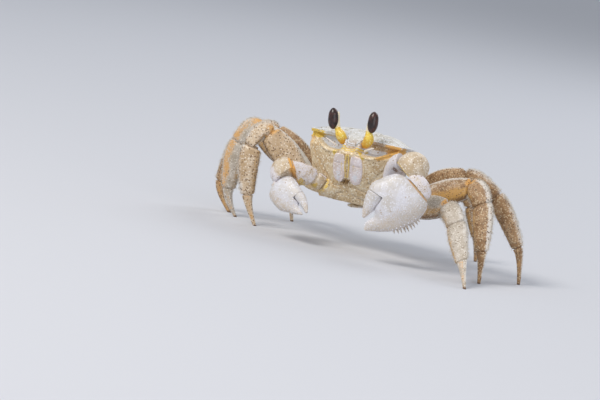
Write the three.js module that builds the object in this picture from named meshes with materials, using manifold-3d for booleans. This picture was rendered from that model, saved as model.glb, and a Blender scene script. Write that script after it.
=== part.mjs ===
// Atlantic ghost crab (Ocypode quadrata), life size, standing with its claws folded before its mouth.
// Millimetres. The crab faces -Y, its left side is +X, and the floor is z = 0.
import * as THREE from 'three';
import { mergeVertices } from 'three/addons/utils/BufferGeometryUtils.js';
import Module from 'manifold-3d';

const wasm = await Module();
wasm.setup();

// ---------------------------------------------------------------- driving sizes
const GAP = 0.3; // between neighbouring pieces
const INNER_BEND = 0.8; // share of the room on the inner side of a bend that a limb fills
const TOOTH_HEIGHT = 44.5; // floor to the orbital teeth
const TOOTH_Y = -18; // the line between the teeth, ahead of the hips
const PITCH = 3; // degrees, the front is carried higher
const HALF_WIDTH = 19.85; // half the width between the orbital teeth
const DOME = 3.0; // rise of the carapace above its margin
const BODY_DEPTH = 26.5; // margin to breastplate
const REAR_Y = 31.6; // teeth to the rear margin
const MIDDLE = 14; // teeth to the top of the dome
const PALM_LENGTH = 26.2; // large claw, wrist to the tip of the fixed finger
const SMALL_PALM_LENGTH = 18.4;
const FOOT_TIP = 0.62; // half width of a toe where it meets the floor

const degrees = THREE.MathUtils.degToRad;
const { clamp, lerp, smoothstep } = THREE.MathUtils;
const vec = (x, y, z) => new THREE.Vector3(x, y, z);

// ---------------------------------------------------------------- closed solids
// A closed geometry through rings of equal count, with a fan of triangles over each end.
function loft(rings) {
  const count = rings[0].length;
  const points = rings.flat();
  const triangles = [];
  for (let r = 0; r + 1 < rings.length; r += 1) {
    for (let i = 0; i < count; i += 1) {
      const a = r * count + i;
      const b = r * count + ((i + 1) % count);
      triangles.push(a, b, b + count, a, b + count, a + count);
    }
  }
  for (const [ring, flip] of [[0, true], [rings.length - 1, false]]) {
    const middle = points.length;
    const centre = vec(0, 0, 0);
    rings[ring].forEach((p) => centre.addScaledVector(p, 1 / count));
    points.push(centre);
    for (let i = 0; i < count; i += 1) {
      const a = ring * count + i;
      const b = ring * count + ((i + 1) % count);
      triangles.push(...(flip ? [b, a, middle] : [a, b, middle]));
    }
  }
  return facingOut(points, triangles);
}

function facingOut(points, triangles) {
  let volume = 0;
  for (let i = 0; i < triangles.length; i += 3) {
    const [a, b, c] = [points[triangles[i]], points[triangles[i + 1]], points[triangles[i + 2]]];
    volume += a.dot(b.clone().cross(c));
  }
  const geometry = new THREE.BufferGeometry();
  geometry.setAttribute('position', new THREE.Float32BufferAttribute(points.flatMap((p) => p.toArray()), 3));
  geometry.setIndex(volume > 0 ? triangles : triangles.slice().reverse());
  return geometry;
}

function solid(geometry) {
  const bare = geometry.clone();
  bare.deleteAttribute('normal');
  bare.deleteAttribute('uv');
  const merged = mergeVertices(bare, 1e-4);
  const vertProperties = new Float32Array(merged.attributes.position.array);
  const triVerts = new Uint32Array(merged.index.array);
  return new wasm.Manifold(new wasm.Mesh({ numProp: 3, vertProperties, triVerts }));
}

function geometryOf(manifold) {
  const mesh = manifold.getMesh();
  const geometry = new THREE.BufferGeometry();
  geometry.setAttribute('position', new THREE.Float32BufferAttribute(mesh.vertProperties, 3));
  geometry.setIndex([...mesh.triVerts]);
  return geometry;
}

// Everything on the far side of a plane: a large box whose near face is at the point.
function beyond(point, direction) {
  const SIZE = 120;
  const box = new THREE.BoxGeometry(SIZE, SIZE, SIZE);
  box.translate(0, 0, SIZE / 2);
  box.applyQuaternion(new THREE.Quaternion().setFromUnitVectors(vec(0, 0, 1), direction.clone().normalize()));
  box.translate(point.x, point.y, point.z);
  return solid(box);
}

// A side profile in y and z, extruded across the whole body.
function acrossBody(profile) {
  const SPAN = 60;
  const outline = new THREE.Shape(profile.map(([y, z]) => new THREE.Vector2(y, z)));
  const slab = new THREE.ExtrudeGeometry(outline, { depth: SPAN, bevelEnabled: false });
  slab.translate(0, 0, -SPAN / 2);
  slab.applyMatrix4(new THREE.Matrix4().makeBasis(vec(0, 1, 0), vec(0, 0, 1), vec(1, 0, 0)));
  return solid(slab);
}

// ---------------------------------------------------------------- tubes with a dorsal crest
const SECTION_POINTS = 10;

// One cross-section: tall along up, thin along across, drawn in to a crest at the top.
// half.under is the height below the centre, where that differs.
function section(centre, up, across, half, crest, count = SECTION_POINTS) {
  const ring = [];
  for (let i = 0; i < count; i += 1) {
    const angle = (i / count) * 2 * Math.PI;
    const rise = Math.cos(angle);
    const height = rise < 0 ? (half.under ?? half.tall) : half.tall;
    const spread = half.thick * Math.sin(angle) * (1 - crest * rise);
    ring.push(centre.clone().addScaledVector(up, height * rise).addScaledVector(across, spread));
  }
  return ring;
}

// How far a section can reach down before it meets the plane of its neighbour in a bend.
function roomBelow(place, neighbour) {
  const closing = place.dorsal.dot(neighbour.along);
  const distance = place.centre.clone().sub(neighbour.centre).dot(neighbour.along) / closing;
  return distance > 0 ? distance : Infinity;
}

// A tube along a curve. sizes(t) gives the half sizes, and up is carried along without twist.
// On the inside of a tight bend the tube stays thin enough not to fold into itself.
function limb(curve, steps, up, sizes, crest = 0.3, count = SECTION_POINTS) {
  const places = [];
  let dorsal = up;
  for (let i = 0; i <= steps; i += 1) {
    const t = i / steps;
    const along = curve.getTangent(t);
    dorsal = dorsal.clone().addScaledVector(along, -dorsal.dot(along)).normalize();
    places.push({ centre: curve.getPoint(t), along, dorsal, half: sizes(t) });
  }
  const rings = places.map((place, i) => {
    const neighbours = [places[i - 1], places[i + 1]].filter(Boolean);
    const room = Math.min(...neighbours.map((neighbour) => roomBelow(place, neighbour)));
    const half = { ...place.half, under: Math.min(place.half.tall, INNER_BEND * room) };
    return section(place.centre, place.dorsal, place.along.clone().cross(place.dorsal), half, crest, count);
  });
  return { rings, up: dorsal };
}

// A smooth rise and fall between three values along a piece.
function swell(start, middle, end, peak = 0.5) {
  return (t) => (t < peak
    ? lerp(start, middle, Math.sin((t / peak) * Math.PI / 2))
    : lerp(middle, end, 1 - Math.cos(((t - peak) / (1 - peak)) * Math.PI / 2)));
}

const sizesOf = (tall, thick) => (t) => ({ tall: tall(t), thick: thick(t) });

// ---------------------------------------------------------------- nodes
const model = new THREE.Group();
const body = new THREE.Group();
body.position.set(0, TOOTH_Y, TOOTH_HEIGHT);
body.rotation.x = -degrees(PITCH);
model.add(body);

function add(parent, name, geometry, color, roughness = 0.5) {
  const material = new THREE.MeshStandardMaterial({ color, roughness, metalness: 0 });
  const mesh = new THREE.Mesh(geometry, material);
  mesh.name = name;
  parent.add(mesh);
  return mesh;
}

const SHELL = 0xd8c8a6;
const STRAW = 0xcdb88e;
const IVORY = 0xe8e3e0;
const GOLD = 0xbf9347;
const CREAM = 0xdcc8a4;
const YELLOW = 0xddb343;
const CORNEA = 0x2a1512;

// ---------------------------------------------------------------- body, in its own frame
// Half of the carapace margin from above: rostrum, orbit, tooth, side and rear.
const MARGIN = [
  [0, -3.9], [1.9, -3.5], [2.7, -1.4], [4.4, 0.9], [7, 2.0], [10.5, 1.4], [14, 0.8], [17.4, 1.4],
  [HALF_WIDTH, 0], [20.4, 3.2], [20.6, 8], [20.1, 14], [18.7, 20], [16, 25.5], [12, 29.6], [7.5, 31.2],
  [0, REAR_Y],
];
const ORBIT = { top: 1.3, bottom: 6.6, inner: 4.0, outer: 18.6, back: 3.4 };

// The side walls lean in below the margin, more steeply towards the legs.
const leanIn = (depth) => 0.1 * depth + 0.0065 * depth * depth;

// The face in profile: it comes forward to the mouth frame and then falls back to the breastplate.
function faceProfile(depth) {
  if (depth < 2) return -3.9;
  if (depth < 6.3) return lerp(-3.9, -6.3, smoothstep(depth, 2, 6.3));
  return -6.3 + 0.357 * (depth - 6.3) + 0.0062 * (depth - 6.3) ** 2;
}

function faceY(x, depth) {
  return faceProfile(depth) + 6.4 * (Math.abs(x) / 19.5) ** 2.2;
}

// One level of the body: the margin, leaned in, with its front turned into the face and the orbits.
function bodyRing(depth) {
  const half = MARGIN.map(([x0, y0]) => {
    const x = x0 * (1 - leanIn(depth) / 20);
    let y = y0 > MIDDLE ? MIDDLE + (y0 - MIDDLE) * (1 - leanIn(depth) / 17) : y0;
    const front = 1 - smoothstep(y0, 1.5, 8);
    if (depth > ORBIT.top) {
      const open = smoothstep(Math.abs(x), ORBIT.inner - 1, ORBIT.inner + 1.6)
        * (1 - smoothstep(Math.abs(x), ORBIT.outer - 2, ORBIT.outer));
      const hollow = depth < ORBIT.bottom ? open * (1 - smoothstep(depth, 4.6, ORBIT.bottom)) : 0;
      y = lerp(y, lerp(faceY(x, depth), ORBIT.back, hollow), front);
    }
    const droop = y0 < 0 ? 2.6 * (-y0 / 3.9) ** 1.5 : 5 * (y0 / REAR_Y) ** 2;
    return [x, y, -depth - droop * clamp(1 - depth / 9, 0, 1)];
  });
  return mirrored(half);
}

function mirrored(half) {
  const left = half.map(([x, y, z]) => vec(x, y, z));
  const right = half.slice(1, -1).reverse().map(([x, y, z]) => vec(-x, y, z));
  return [...left, ...right];
}

// The dome: the margin shrunk towards the middle of the back.
function domeRing(scale) {
  const middle = vec(0, MIDDLE, 0);
  return bodyRing(0).map((p) => {
    const q = p.clone().sub(middle).multiplyScalar(scale).add(middle);
    q.z = p.z * scale ** 2 + DOME * (1 - scale ** 2.4);
    return q;
  });
}

const LEVELS = [BODY_DEPTH, 23, 19.2, 15, 11, 7, 6.2, 4.6, 1.6, 1.2, 0];
const whole = solid(loft([...LEVELS.map(bodyRing), ...[0.95, 0.8, 0.55, 0.25].map(domeRing)]));

// The body is parted along two seams: under the carapace edge, and above the leg bases.
const SEAM = { brow: -1.45, face: 4.4, side: -15.6, jaw: -19.6 };
const shellProfile = [
  [-9, 9], [45, 9], [45, SEAM.side], [SEAM.face, SEAM.side], [SEAM.face, SEAM.brow], [1, SEAM.brow],
  [-2, -4.1], [-9, -5.2],
];
const faceOutline = [
  [-14, -5.5 - GAP], [-9, -5.2 - GAP], [-2, -4.1 - GAP], [1, SEAM.brow - GAP],
  [SEAM.face - GAP, SEAM.brow - GAP], [SEAM.face - GAP, SEAM.jaw], [-14, SEAM.jaw],
];
const breastOutline = [
  [-14, SEAM.jaw - GAP], [SEAM.face, SEAM.jaw - GAP], [SEAM.face, SEAM.side - GAP], [45, SEAM.side - GAP],
  [45, -40], [-14, -40],
];

let carapace = whole.intersect(acrossBody(shellProfile));
let face = whole.intersect(acrossBody(faceOutline));
let breast = whole.intersect(acrossBody(breastOutline));

// ---------------------------------------------------------------- mouth
// Each plate of the mouth is a long rounded shield, a little wider below, standing in a recess of the face.
const PLATE = { top: 7.0, length: 11.9, halfWidth: 2.9, thick: 0.85, apart: 0.35 };

function mouthPlate(side, grow) {
  const rings = [];
  const STEPS = 6;
  for (let i = 0; i <= STEPS; i += 1) {
    const t = i / STEPS;
    const depth = PLATE.top + PLATE.length * t;
    const end = Math.sin(Math.PI * clamp(0.12 + 0.8 * t, 0, 1)) ** 0.4;
    const half = { tall: (PLATE.halfWidth * (0.86 + 0.14 * t)) * end + grow, thick: PLATE.thick + grow };
    const centre = vec(side * (PLATE.halfWidth + PLATE.apart), faceProfile(depth) + 0.55, -depth);
    const rise = (t - 0.5) * 2 * grow;
    centre.z -= rise;
    rings.push(section(centre, vec(side, 0.12, 0).normalize(), vec(0.12 * side, -1, 0).normalize(), half, 0));
  }
  return loft(rings);
}

for (const side of [1, -1]) face = face.subtract(solid(mouthPlate(side, GAP)));

// ---------------------------------------------------------------- legs
// Pairs run from front to back. Lengths follow the control corners: knee, wrist of the leg, ankle, toe.
// The animal leans: lean is how much higher the left hip is than the middle, and the right hip lower.
const PAIRS = [
  { hip: [19.5, -10.5, 20.8], lean: 0, reach: [30.5, 14.5, 19.5, 9], girth: 0.96 },
  { hip: [19.5, -3.5, 22.2], lean: 0.5, reach: [36.5, 14.5, 19, 8.5], girth: 1.03 },
  { hip: [19, 3.5, 24.2], lean: 1.8, reach: [33, 17, 21, 10.5], girth: 1 },
  { hip: [14.5, 8, 23.5], lean: 0, reach: [27, 11.5, 12.5, 7.5], girth: 0.7 },
];
// Degrees for each leg: thigh forward, foot forward, shin below the level, and the two bends below it.
const STANCE = {
  left: [[24, 53, 31, 6, 9], [14, 51, 42, 25, 11], [16, -2, 35, 25, 25], [-39, -46, 63, 9, 11]],
  right: [[20, 20, 74, 27, 18], [3, 12, 69, 22, 34], [1, -3, 40, 37, 57], [-30, -26, 73, 20, 20]],
};
const COXA = 3.4; // length of the hip stub outside the hip point
const HIP_ROOT = 0.6; // the stub starts this share of the way out to the hip
const KNEE = 4.5; // how far short of the knee corner the thigh ends
const WRIST_AT = 0.68;
const ANKLE_AT = 0.8;

function heading(forward, elevation, side) {
  const [f, e] = [degrees(forward), degrees(elevation)];
  return vec(side * Math.cos(f) * Math.cos(e), -Math.sin(f) * Math.cos(e), Math.sin(e));
}

// The corners of one leg. The thigh is raised just enough for the toe to reach the floor.
function corners(pair, stance, side) {
  const [thighForward, footForward, shin, bendA, bendB] = stance;
  const below = [shin, shin + bendA, shin + bendA + bendB];
  const drop = below.reduce((sum, angle, i) => sum + pair.reach[i + 1] * Math.sin(degrees(angle)), 0);
  const hip = vec(side * pair.hip[0], pair.hip[1], pair.hip[2] + side * pair.lean);
  const raise = THREE.MathUtils.radToDeg(Math.asin((drop - hip.z) / pair.reach[0]));
  const thigh = heading(thighForward, raise, side);
  const points = [hip, hip.clone().addScaledVector(thigh, pair.reach[0])];
  below.forEach((angle, i) => {
    points.push(points.at(-1).clone().addScaledVector(heading(footForward, -angle, side), pair.reach[i + 1]));
  });
  return points;
}

// The half sizes of the four segments, before the pair's girth.
const SEGMENTS = {
  merus: sizesOf(swell(2.8, 5.9, 4.3, 0.6), swell(1.9, 2.6, 2.1)),
  carpus: sizesOf(swell(3.5, 4.3, 4.1), swell(2.0, 2.5, 2.1)),
  propodus: sizesOf(swell(4.0, 4.4, 2.8, 0.35), swell(1.9, 2.2, 1.4)),
};
const DACTYL = sizesOf((t) => lerp(2.5, FOOT_TIP, t ** 0.8), (t) => lerp(1.35, FOOT_TIP, t ** 0.8));

const scaled = (sizes, girth) => (t) => ({ tall: sizes(t).tall * girth, thick: sizes(t).thick * girth });

// Leaves half a gap at each end of a curve.
class Trimmed extends THREE.Curve {
  constructor(curve, start, end) {
    super();
    const length = curve.getLength();
    Object.assign(this, { curve, from: start / length, to: 1 - end / length });
  }

  getPoint(t, target = vec(0, 0, 0)) {
    return target.copy(this.curve.getPoint(lerp(this.from, this.to, t)));
  }

  getTangent(t) {
    return this.curve.getTangent(lerp(this.from, this.to, t));
  }
}

function buildLeg(side, number, pair, stance) {
  const [hip, knee, bend, ankle, toe] = corners(pair, stance, side);
  const thigh = knee.clone().sub(hip).normalize();
  const hinge = thigh.clone().cross(bend.clone().sub(knee)).normalize();
  const start = hip.clone().addScaledVector(thigh, COXA + GAP);
  const short = knee.clone().addScaledVector(thigh, -KNEE);
  const wrist = knee.clone().lerp(bend, WRIST_AT);
  const heel = bend.clone().lerp(ankle, ANKLE_AT);
  const name = `leg_${side > 0 ? 'left' : 'right'}_${number}`;
  const color = side > 0 ? GOLD : CREAM;
  const curves = {
    merus: new THREE.LineCurve3(start, short),
    carpus: new THREE.QuadraticBezierCurve3(short, knee, wrist),
    propodus: new THREE.QuadraticBezierCurve3(wrist, bend, heel),
  };
  let up = thigh.clone().cross(hinge);
  for (const [segment, curve] of Object.entries(curves)) {
    const trimmed = new Trimmed(curve, segment === 'merus' ? 0 : GAP / 2, GAP / 2);
    const tube = limb(trimmed, 4, up, scaled(SEGMENTS[segment], pair.girth));
    up = tube.up;
    let shape = loft(tube.rings);
    if (segment === 'carpus') {
      const clear = beyond(short.clone().addScaledVector(thigh, GAP / 2), thigh);
      shape = geometryOf(solid(shape).intersect(clear));
    }
    add(model, `${name}_${segment}`, shape, color);
  }
  const claw = new Trimmed(new THREE.QuadraticBezierCurve3(heel, ankle, toe), GAP / 2, 0);
  const tube = limb(claw, 3, up, (t) => {
    const size = DACTYL(t);
    const girth = lerp(pair.girth, 1, t);
    return { tall: size.tall * girth, thick: size.thick * girth };
  }, 0.2);
  standOnFloor(tube.rings.at(-1), toe.clone().sub(ankle).normalize());
  add(model, `${name}_dactyl`, loft(tube.rings), color);
  hipStub(vec(hip.x * HIP_ROOT, hip.y, hip.z), hip, thigh, pair.girth);
}

// The last ring of a toe slides along the toe on to the floor, which leaves a small flat.
function standOnFloor(ring, along) {
  ring.forEach((p) => p.addScaledVector(along, -p.z / along.z));
}

// Hip stubs grow from the breastplate, whose frame is the body's.
body.updateMatrixWorld(true);
const toBody = body.matrixWorld.clone().invert();
const stubs = [];
const clearances = []; // the same stubs with room round them, cut from the face and the carapace

function hipStub(root, hip, direction, girth, size = { tall: 2.6, thick: 2.1 }) {
  const curve = new THREE.QuadraticBezierCurve3(root, hip, hip.clone().addScaledVector(direction, COXA));
  const stub = (grow) => {
    const half = { tall: size.tall * girth + grow, thick: size.thick * girth + grow };
    return solid(loft(limb(curve, 2, vec(0, 0, 1), () => half, 0, 8).rings).applyMatrix4(toBody));
  };
  stubs.push(stub(0));
  clearances.push(stub(GAP));
}

for (const [side, stances] of [[1, STANCE.left], [-1, STANCE.right]]) {
  stances.forEach((stance, i) => buildLeg(side, i + 1, PAIRS[i], stance));
}

// ---------------------------------------------------------------- claws
// A hand is a flattened blade from the wrist to the tip of the fixed finger. Both edges and the
// half thickness are given along the blade: x along the palm, y towards the movable finger.
const LARGE_HAND = {
  length: PALM_LENGTH,
  upper: [
    [0, 4.4], [2.6, 8.8], [5.6, 10.4], [8.5, 11.3], [11.4, 12.1], [13.4, 12.1], [15.2, 11.0], [16.8, 8.4],
    [18, 4.8], [19, 2.5], [20.2, 1.5], [22, 1.5], [24, 1.7], [PALM_LENGTH, 0.6],
  ],
  lower: [
    [0, -7.0], [2.4, -8.9], [5.5, -9.9], [9, -9.9], [13.5, -8.9], [18.6, -6.9], [22.4, -4.0],
    [PALM_LENGTH, -0.5],
  ],
  thick: [[0, 2.6], [4, 4.0], [9, 4.4], [15, 3.6], [20, 2.2], [PALM_LENGTH, 0.6]],
  finger: { root: [13.6, 8], bow: [19.4, 6.1], tip: [23.6, 4.0], tall: 3.6, thick: 2.4 },
};
const SMALL_HAND = {
  length: SMALL_PALM_LENGTH,
  upper: [
    [0, 3.4], [2.5, 4.8], [5, 5.4], [8.3, 5.6], [10.8, 5.5], [12.2, 4.2], [13.2, 2.0], [14.4, 1.0],
    [16.4, 0.9], [SMALL_PALM_LENGTH, 1.0],
  ],
  lower: [
    [0, -5.4], [2.2, -7.4], [6.5, -7.4], [10.5, -6.4], [13.2, -4.2], [16, -2],
    [SMALL_PALM_LENGTH, 0.2],
  ],
  thick: [[0, 2.1], [3, 3.0], [7, 3.1], [11, 2.4], [14, 1.5], [SMALL_PALM_LENGTH, 0.5]],
  finger: { root: [10.8, 3.7], bow: [15.8, 4.3], tip: [19.4, 2.6], tall: 2.1, thick: 1.5 },
};
const ARMS = {
  left: {
    root: [9, -14, 22], shoulder: [19, -18.4, 22], bow: [19.7, -25.5, 39.8], end: [28.9, -30.5, 40.3],
    armTall: [3.4, 5.4], armThick: [2.6, 3.2], elbow: [24.9, -29, 39.2], seam: [0.89, -0.1, 0.23],
    wrist: [34.6, -34, 32.2], tip: [19.8, -40.4, 13.0], face: [0.32, -0.93, 0.1],
    dome: [30.4, -31, 38.8], domeSize: [6.4, 5.4, 6.8], hand: LARGE_HAND,
  },
  right: {
    root: [-6, -14, 22], shoulder: [-8.5, -18.6, 22], bow: [-15.2, -25, 26.9], end: [-23.3, -30, 25.2],
    armTall: [3.2, 6.2], armThick: [2.5, 3.0], elbow: [-19.7, -28.4, 26.9], seam: [-0.8, -0.4, -0.44],
    wrist: [-23.4, -31.4, 22.2], tip: [-8.6, -38.2, 10.4], face: [-0.05, -0.99, 0.05],
    dome: [-23.4, -30, 25.8], domeSize: [5.9, 4.3, 6.2], hand: SMALL_HAND,
  },
};

// The value of an edge at a place along the blade, on a smooth curve through its points.
function edgeAt(edge, x) {
  const curve = new THREE.CatmullRomCurve3(edge.map(([u, v]) => vec(u, v, 0)), false, 'centripetal');
  let [low, high] = [0, 1];
  for (let i = 0; i < 22; i += 1) {
    const middle = (low + high) / 2;
    if (curve.getPoint(middle).x < x) low = middle;
    else high = middle;
  }
  return curve.getPoint(low).y;
}

const HAND_POINTS = 14;
const HAND_STEPS = 13;
const FINGER_TIP = 0.45; // half width of the end of a movable finger
const FINGER_STEPS = 6;
const PALM_CUT = 3; // the finger's slot runs right through the palm

// The frame of a hand: along it, up it, and out of its broad face.
function handFrame(arm) {
  const u = vec(...arm.tip).sub(vec(...arm.wrist)).normalize();
  const w = vec(...arm.face).addScaledVector(u, -vec(...arm.face).dot(u)).normalize();
  let v = w.clone().cross(u);
  const inward = -Math.sign(arm.wrist[0]);
  if (v.x * inward < 0) v = v.negate();
  return { u, v, w };
}

function handPoint(arm, frame, x, y, out) {
  const point = vec(...arm.wrist).addScaledVector(frame.u, x);
  return point.addScaledVector(frame.v, y).addScaledVector(frame.w, out);
}

function palm(arm, frame) {
  const rings = [];
  for (let i = 0; i <= HAND_STEPS; i += 1) {
    const x = arm.hand.length * (i / HAND_STEPS);
    const [upper, lower, thick] = ['upper', 'lower', 'thick'].map((edge) => edgeAt(arm.hand[edge], x));
    const ring = [];
    for (let k = 0; k < HAND_POINTS; k += 1) {
      const angle = (k / HAND_POINTS) * 2 * Math.PI;
      const y = (upper + lower) / 2 + ((upper - lower) / 2) * Math.cos(angle);
      ring.push(handPoint(arm, frame, x, y, thick * Math.sin(angle)));
    }
    rings.push(ring);
  }
  return loft(rings);
}

// The movable finger, made larger by room: with room round it, it is cut out of the palm.
function finger(arm, frame, room = { ends: 0, tall: 0, thick: 0 }) {
  const { root, bow, tip, tall, thick } = arm.hand.finger;
  const [a, b, c] = [root, bow, tip].map(([x, y]) => handPoint(arm, frame, x, y, 0));
  a.addScaledVector(b.clone().sub(a).normalize(), -room.ends);
  c.addScaledVector(c.clone().sub(b).normalize(), room.ends);
  const curve = new THREE.QuadraticBezierCurve3(a, b, c);
  const sizes = (t) => ({
    tall: lerp(tall, FINGER_TIP, t ** 1.5) + room.tall,
    thick: lerp(thick, FINGER_TIP, t ** 1.3) + room.thick,
  });
  return loft(limb(curve, FINGER_STEPS, frame.v, sizes, 0.15).rings);
}

function buildClaw(side, arm) {
  const name = `claw_${side > 0 ? 'left' : 'right'}`;
  const frame = handFrame(arm);
  const [shoulder, bow, end, elbow] = [arm.shoulder, arm.bow, arm.end, arm.elbow].map((p) => vec(...p));
  const seam = vec(...arm.seam).normalize();
  const direction = bow.clone().sub(shoulder).normalize();
  const SHOULDER_SET = 1; // the claw's stub is this much shorter than a leg's
  const stubEnd = COXA - SHOULDER_SET;
  const baseEnd = stubEnd + 4.6;
  const up = frame.w.clone().cross(direction);
  if (up.z < 0) up.negate();
  const at = (distance) => shoulder.clone().addScaledVector(direction, distance);
  const tall = (t) => lerp(arm.armTall[0], arm.armTall[1], t);
  const thick = (t) => lerp(arm.armThick[0], arm.armThick[1], t);
  const base = new THREE.LineCurve3(at(stubEnd + GAP), at(baseEnd));
  const thickness = { tall: tall(0), thick: thick(0) };
  add(model, `${name}_base`, loft(limb(base, 2, up, () => thickness).rings), STRAW);
  const upper = new THREE.QuadraticBezierCurve3(at(baseEnd + GAP), bow, end);
  const blank = solid(loft(limb(upper, 4, up, sizesOf(tall, thick)).rings));
  add(model, `${name}_arm`, geometryOf(blank.subtract(beyond(elbow, seam))), CREAM);
  hipStub(vec(...arm.root), at(-SHOULDER_SET), direction, 1, thickness);

  const dome = new THREE.SphereGeometry(1, 14, 9);
  dome.scale(...arm.domeSize);
  const turn = new THREE.Matrix4().makeBasis(frame.v, frame.w, frame.u);
  if (turn.determinant() < 0) turn.makeBasis(frame.v.clone().negate(), frame.w, frame.u);
  dome.applyMatrix4(turn);
  dome.translate(...arm.dome);
  const wristCut = beyond(vec(...arm.wrist).addScaledVector(frame.u, -GAP), frame.u.clone().negate());
  const elbowCut = beyond(elbow.clone().addScaledVector(seam, GAP), seam);
  add(model, `${name}_wrist`, geometryOf(solid(dome).intersect(wristCut).intersect(elbowCut)), CREAM, 0.45);

  const blade = solid(palm(arm, frame));
  const room = { ends: GAP, tall: GAP * 1.3, thick: PALM_CUT };
  add(model, `${name}_palm`, geometryOf(blade.subtract(solid(finger(arm, frame, room)))), IVORY, 0.4);
  add(model, `${name}_finger`, finger(arm, frame), IVORY, 0.4);
}

buildClaw(1, ARMS.left);
buildClaw(-1, ARMS.right);

// ---------------------------------------------------------------- eyes
// Each cornea is a long upright oval on the outer side of its stalk, which swells at the root.
const EYES = {
  left: {
    root: [4.4, -19.8, 41.8],
    bulb: [6.3, -21.2, 44.9],
    cornea: [7.1, -22, 52.2],
    axis: [-0.06, 0.1, 0.99],
  },
  right: {
    root: [-4.2, -19.8, 41.4],
    bulb: [-5.7, -21.2, 44.2],
    cornea: [-9.9, -22, 50.3],
    axis: [-0.18, 0.06, 0.98],
  },
};
const CORNEA_HALF = { across: 2.2, up: 4.3 };
const STALK = { root: 1.5, bulb: 2.1, neck: 1.25, top: 0.8 };

function corneaSolid(eye, grow) {
  const oval = new THREE.SphereGeometry(1, 14, 10);
  oval.rotateX(Math.PI / 2);
  oval.scale(CORNEA_HALF.across + grow, CORNEA_HALF.across + grow, CORNEA_HALF.up + grow);
  oval.applyQuaternion(new THREE.Quaternion().setFromUnitVectors(vec(0, 0, 1), vec(...eye.axis).normalize()));
  oval.translate(...eye.cornea);
  return solid(oval);
}

// The stalk runs from its root through the swelling and up the inner side of the cornea.
function stalkSolid(eye, side, grow) {
  const axis = vec(...eye.axis).normalize();
  const inner = vec(...eye.cornea).add(vec(-side * 1.5, 0.9, 0));
  const neck = inner.clone().addScaledVector(axis, -3.2);
  const top = inner.clone().addScaledVector(axis, 2.6);
  const curve = new THREE.CatmullRomCurve3([vec(...eye.root), vec(...eye.bulb), neck, top]);
  const radius = (t) => grow + (t < 0.3 ? swell(STALK.root, STALK.bulb, STALK.bulb)(t / 0.6)
    : lerp(STALK.bulb, lerp(STALK.neck, STALK.top, smoothstep(t, 0.6, 1)), smoothstep(t, 0.3, 0.6)));
  return solid(loft(limb(curve, 8, vec(0, -1, 0), (t) => ({ tall: radius(t), thick: radius(t) }), 0).rings));
}

const bodyMatrix = toBody.toArray();

for (const [side, eye] of [[1, EYES.left], [-1, EYES.right]]) {
  const name = side > 0 ? 'left' : 'right';
  const stalk = stalkSolid(eye, side, 0).subtract(corneaSolid(eye, GAP));
  const socket = stalkSolid(eye, side, GAP).transform(bodyMatrix);
  face = face.subtract(socket);
  carapace = carapace.subtract(socket);
  add(model, `eyestalk_${name}`, geometryOf(stalk), YELLOW, 0.35);
  add(model, `eye_${name}`, geometryOf(corneaSolid(eye, 0)), CORNEA, 0.12);
}

// ---------------------------------------------------------------- body nodes
// The abdomen is folded under the body as a narrow tapering plate.
const ABDOMEN = {
  path: [[28.7, -17.4], [27.2, -22.4], [24.8, -27.15], [19.5, -27.8], [8.5, -27.75]],
  halfWidths: [6.6, 6.2, 5.2, 3.8, 1.6],
  halfThick: 0.75,
};

function abdomenPlate() {
  const STEPS = 8;
  const curve = new THREE.CatmullRomCurve3(ABDOMEN.path.map(([y, z]) => vec(0, y, z)));
  const widths = new THREE.CatmullRomCurve3(ABDOMEN.halfWidths.map((w, i) => vec(w, i, 0)));
  const sizes = (t) => ({ tall: widths.getPoint(t).x, thick: ABDOMEN.halfThick });
  return loft(limb(curve, STEPS, vec(1, 0, 0), sizes, 0).rings);
}

// A short feeler lies in the inner end of each orbit.
function feeler(side) {
  const curve = new THREE.QuadraticBezierCurve3(
    vec(side * 6.4, -5.0, -4.6),
    vec(side * 8.2, -6.6, -3.2),
    vec(side * 10.6, -6.4, -2.4),
  );
  const radius = (t) => ({ tall: lerp(0.6, 0.3, t), thick: lerp(0.6, 0.3, t) });
  return loft(limb(curve, 3, vec(0, 0, 1), radius, 0, 6).rings);
}

stubs.forEach((stub) => {
  breast = breast.add(stub);
});
clearances.forEach((room) => {
  face = face.subtract(room);
  carapace = carapace.subtract(room);
});
add(body, 'carapace', geometryOf(carapace), SHELL, 0.6);
add(body, 'face', geometryOf(face), STRAW, 0.6);
add(body, 'sternum', geometryOf(breast), STRAW, 0.6);
add(body, 'abdomen', abdomenPlate(), STRAW, 0.6);
for (const side of [1, -1]) {
  const name = side > 0 ? 'left' : 'right';
  add(body, `mouthpart_${name}`, mouthPlate(side, 0), IVORY, 0.5);
  add(body, `antenna_${name}`, feeler(side), STRAW, 0.5);
}

// The origin is on the floor below the middle of the whole animal.
model.updateMatrixWorld(true);
const middle = new THREE.Box3().setFromObject(model).getCenter(vec(0, 0, 0));
model.position.set(-middle.x, -middle.y, 0);

export default model;
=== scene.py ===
import math

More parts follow.
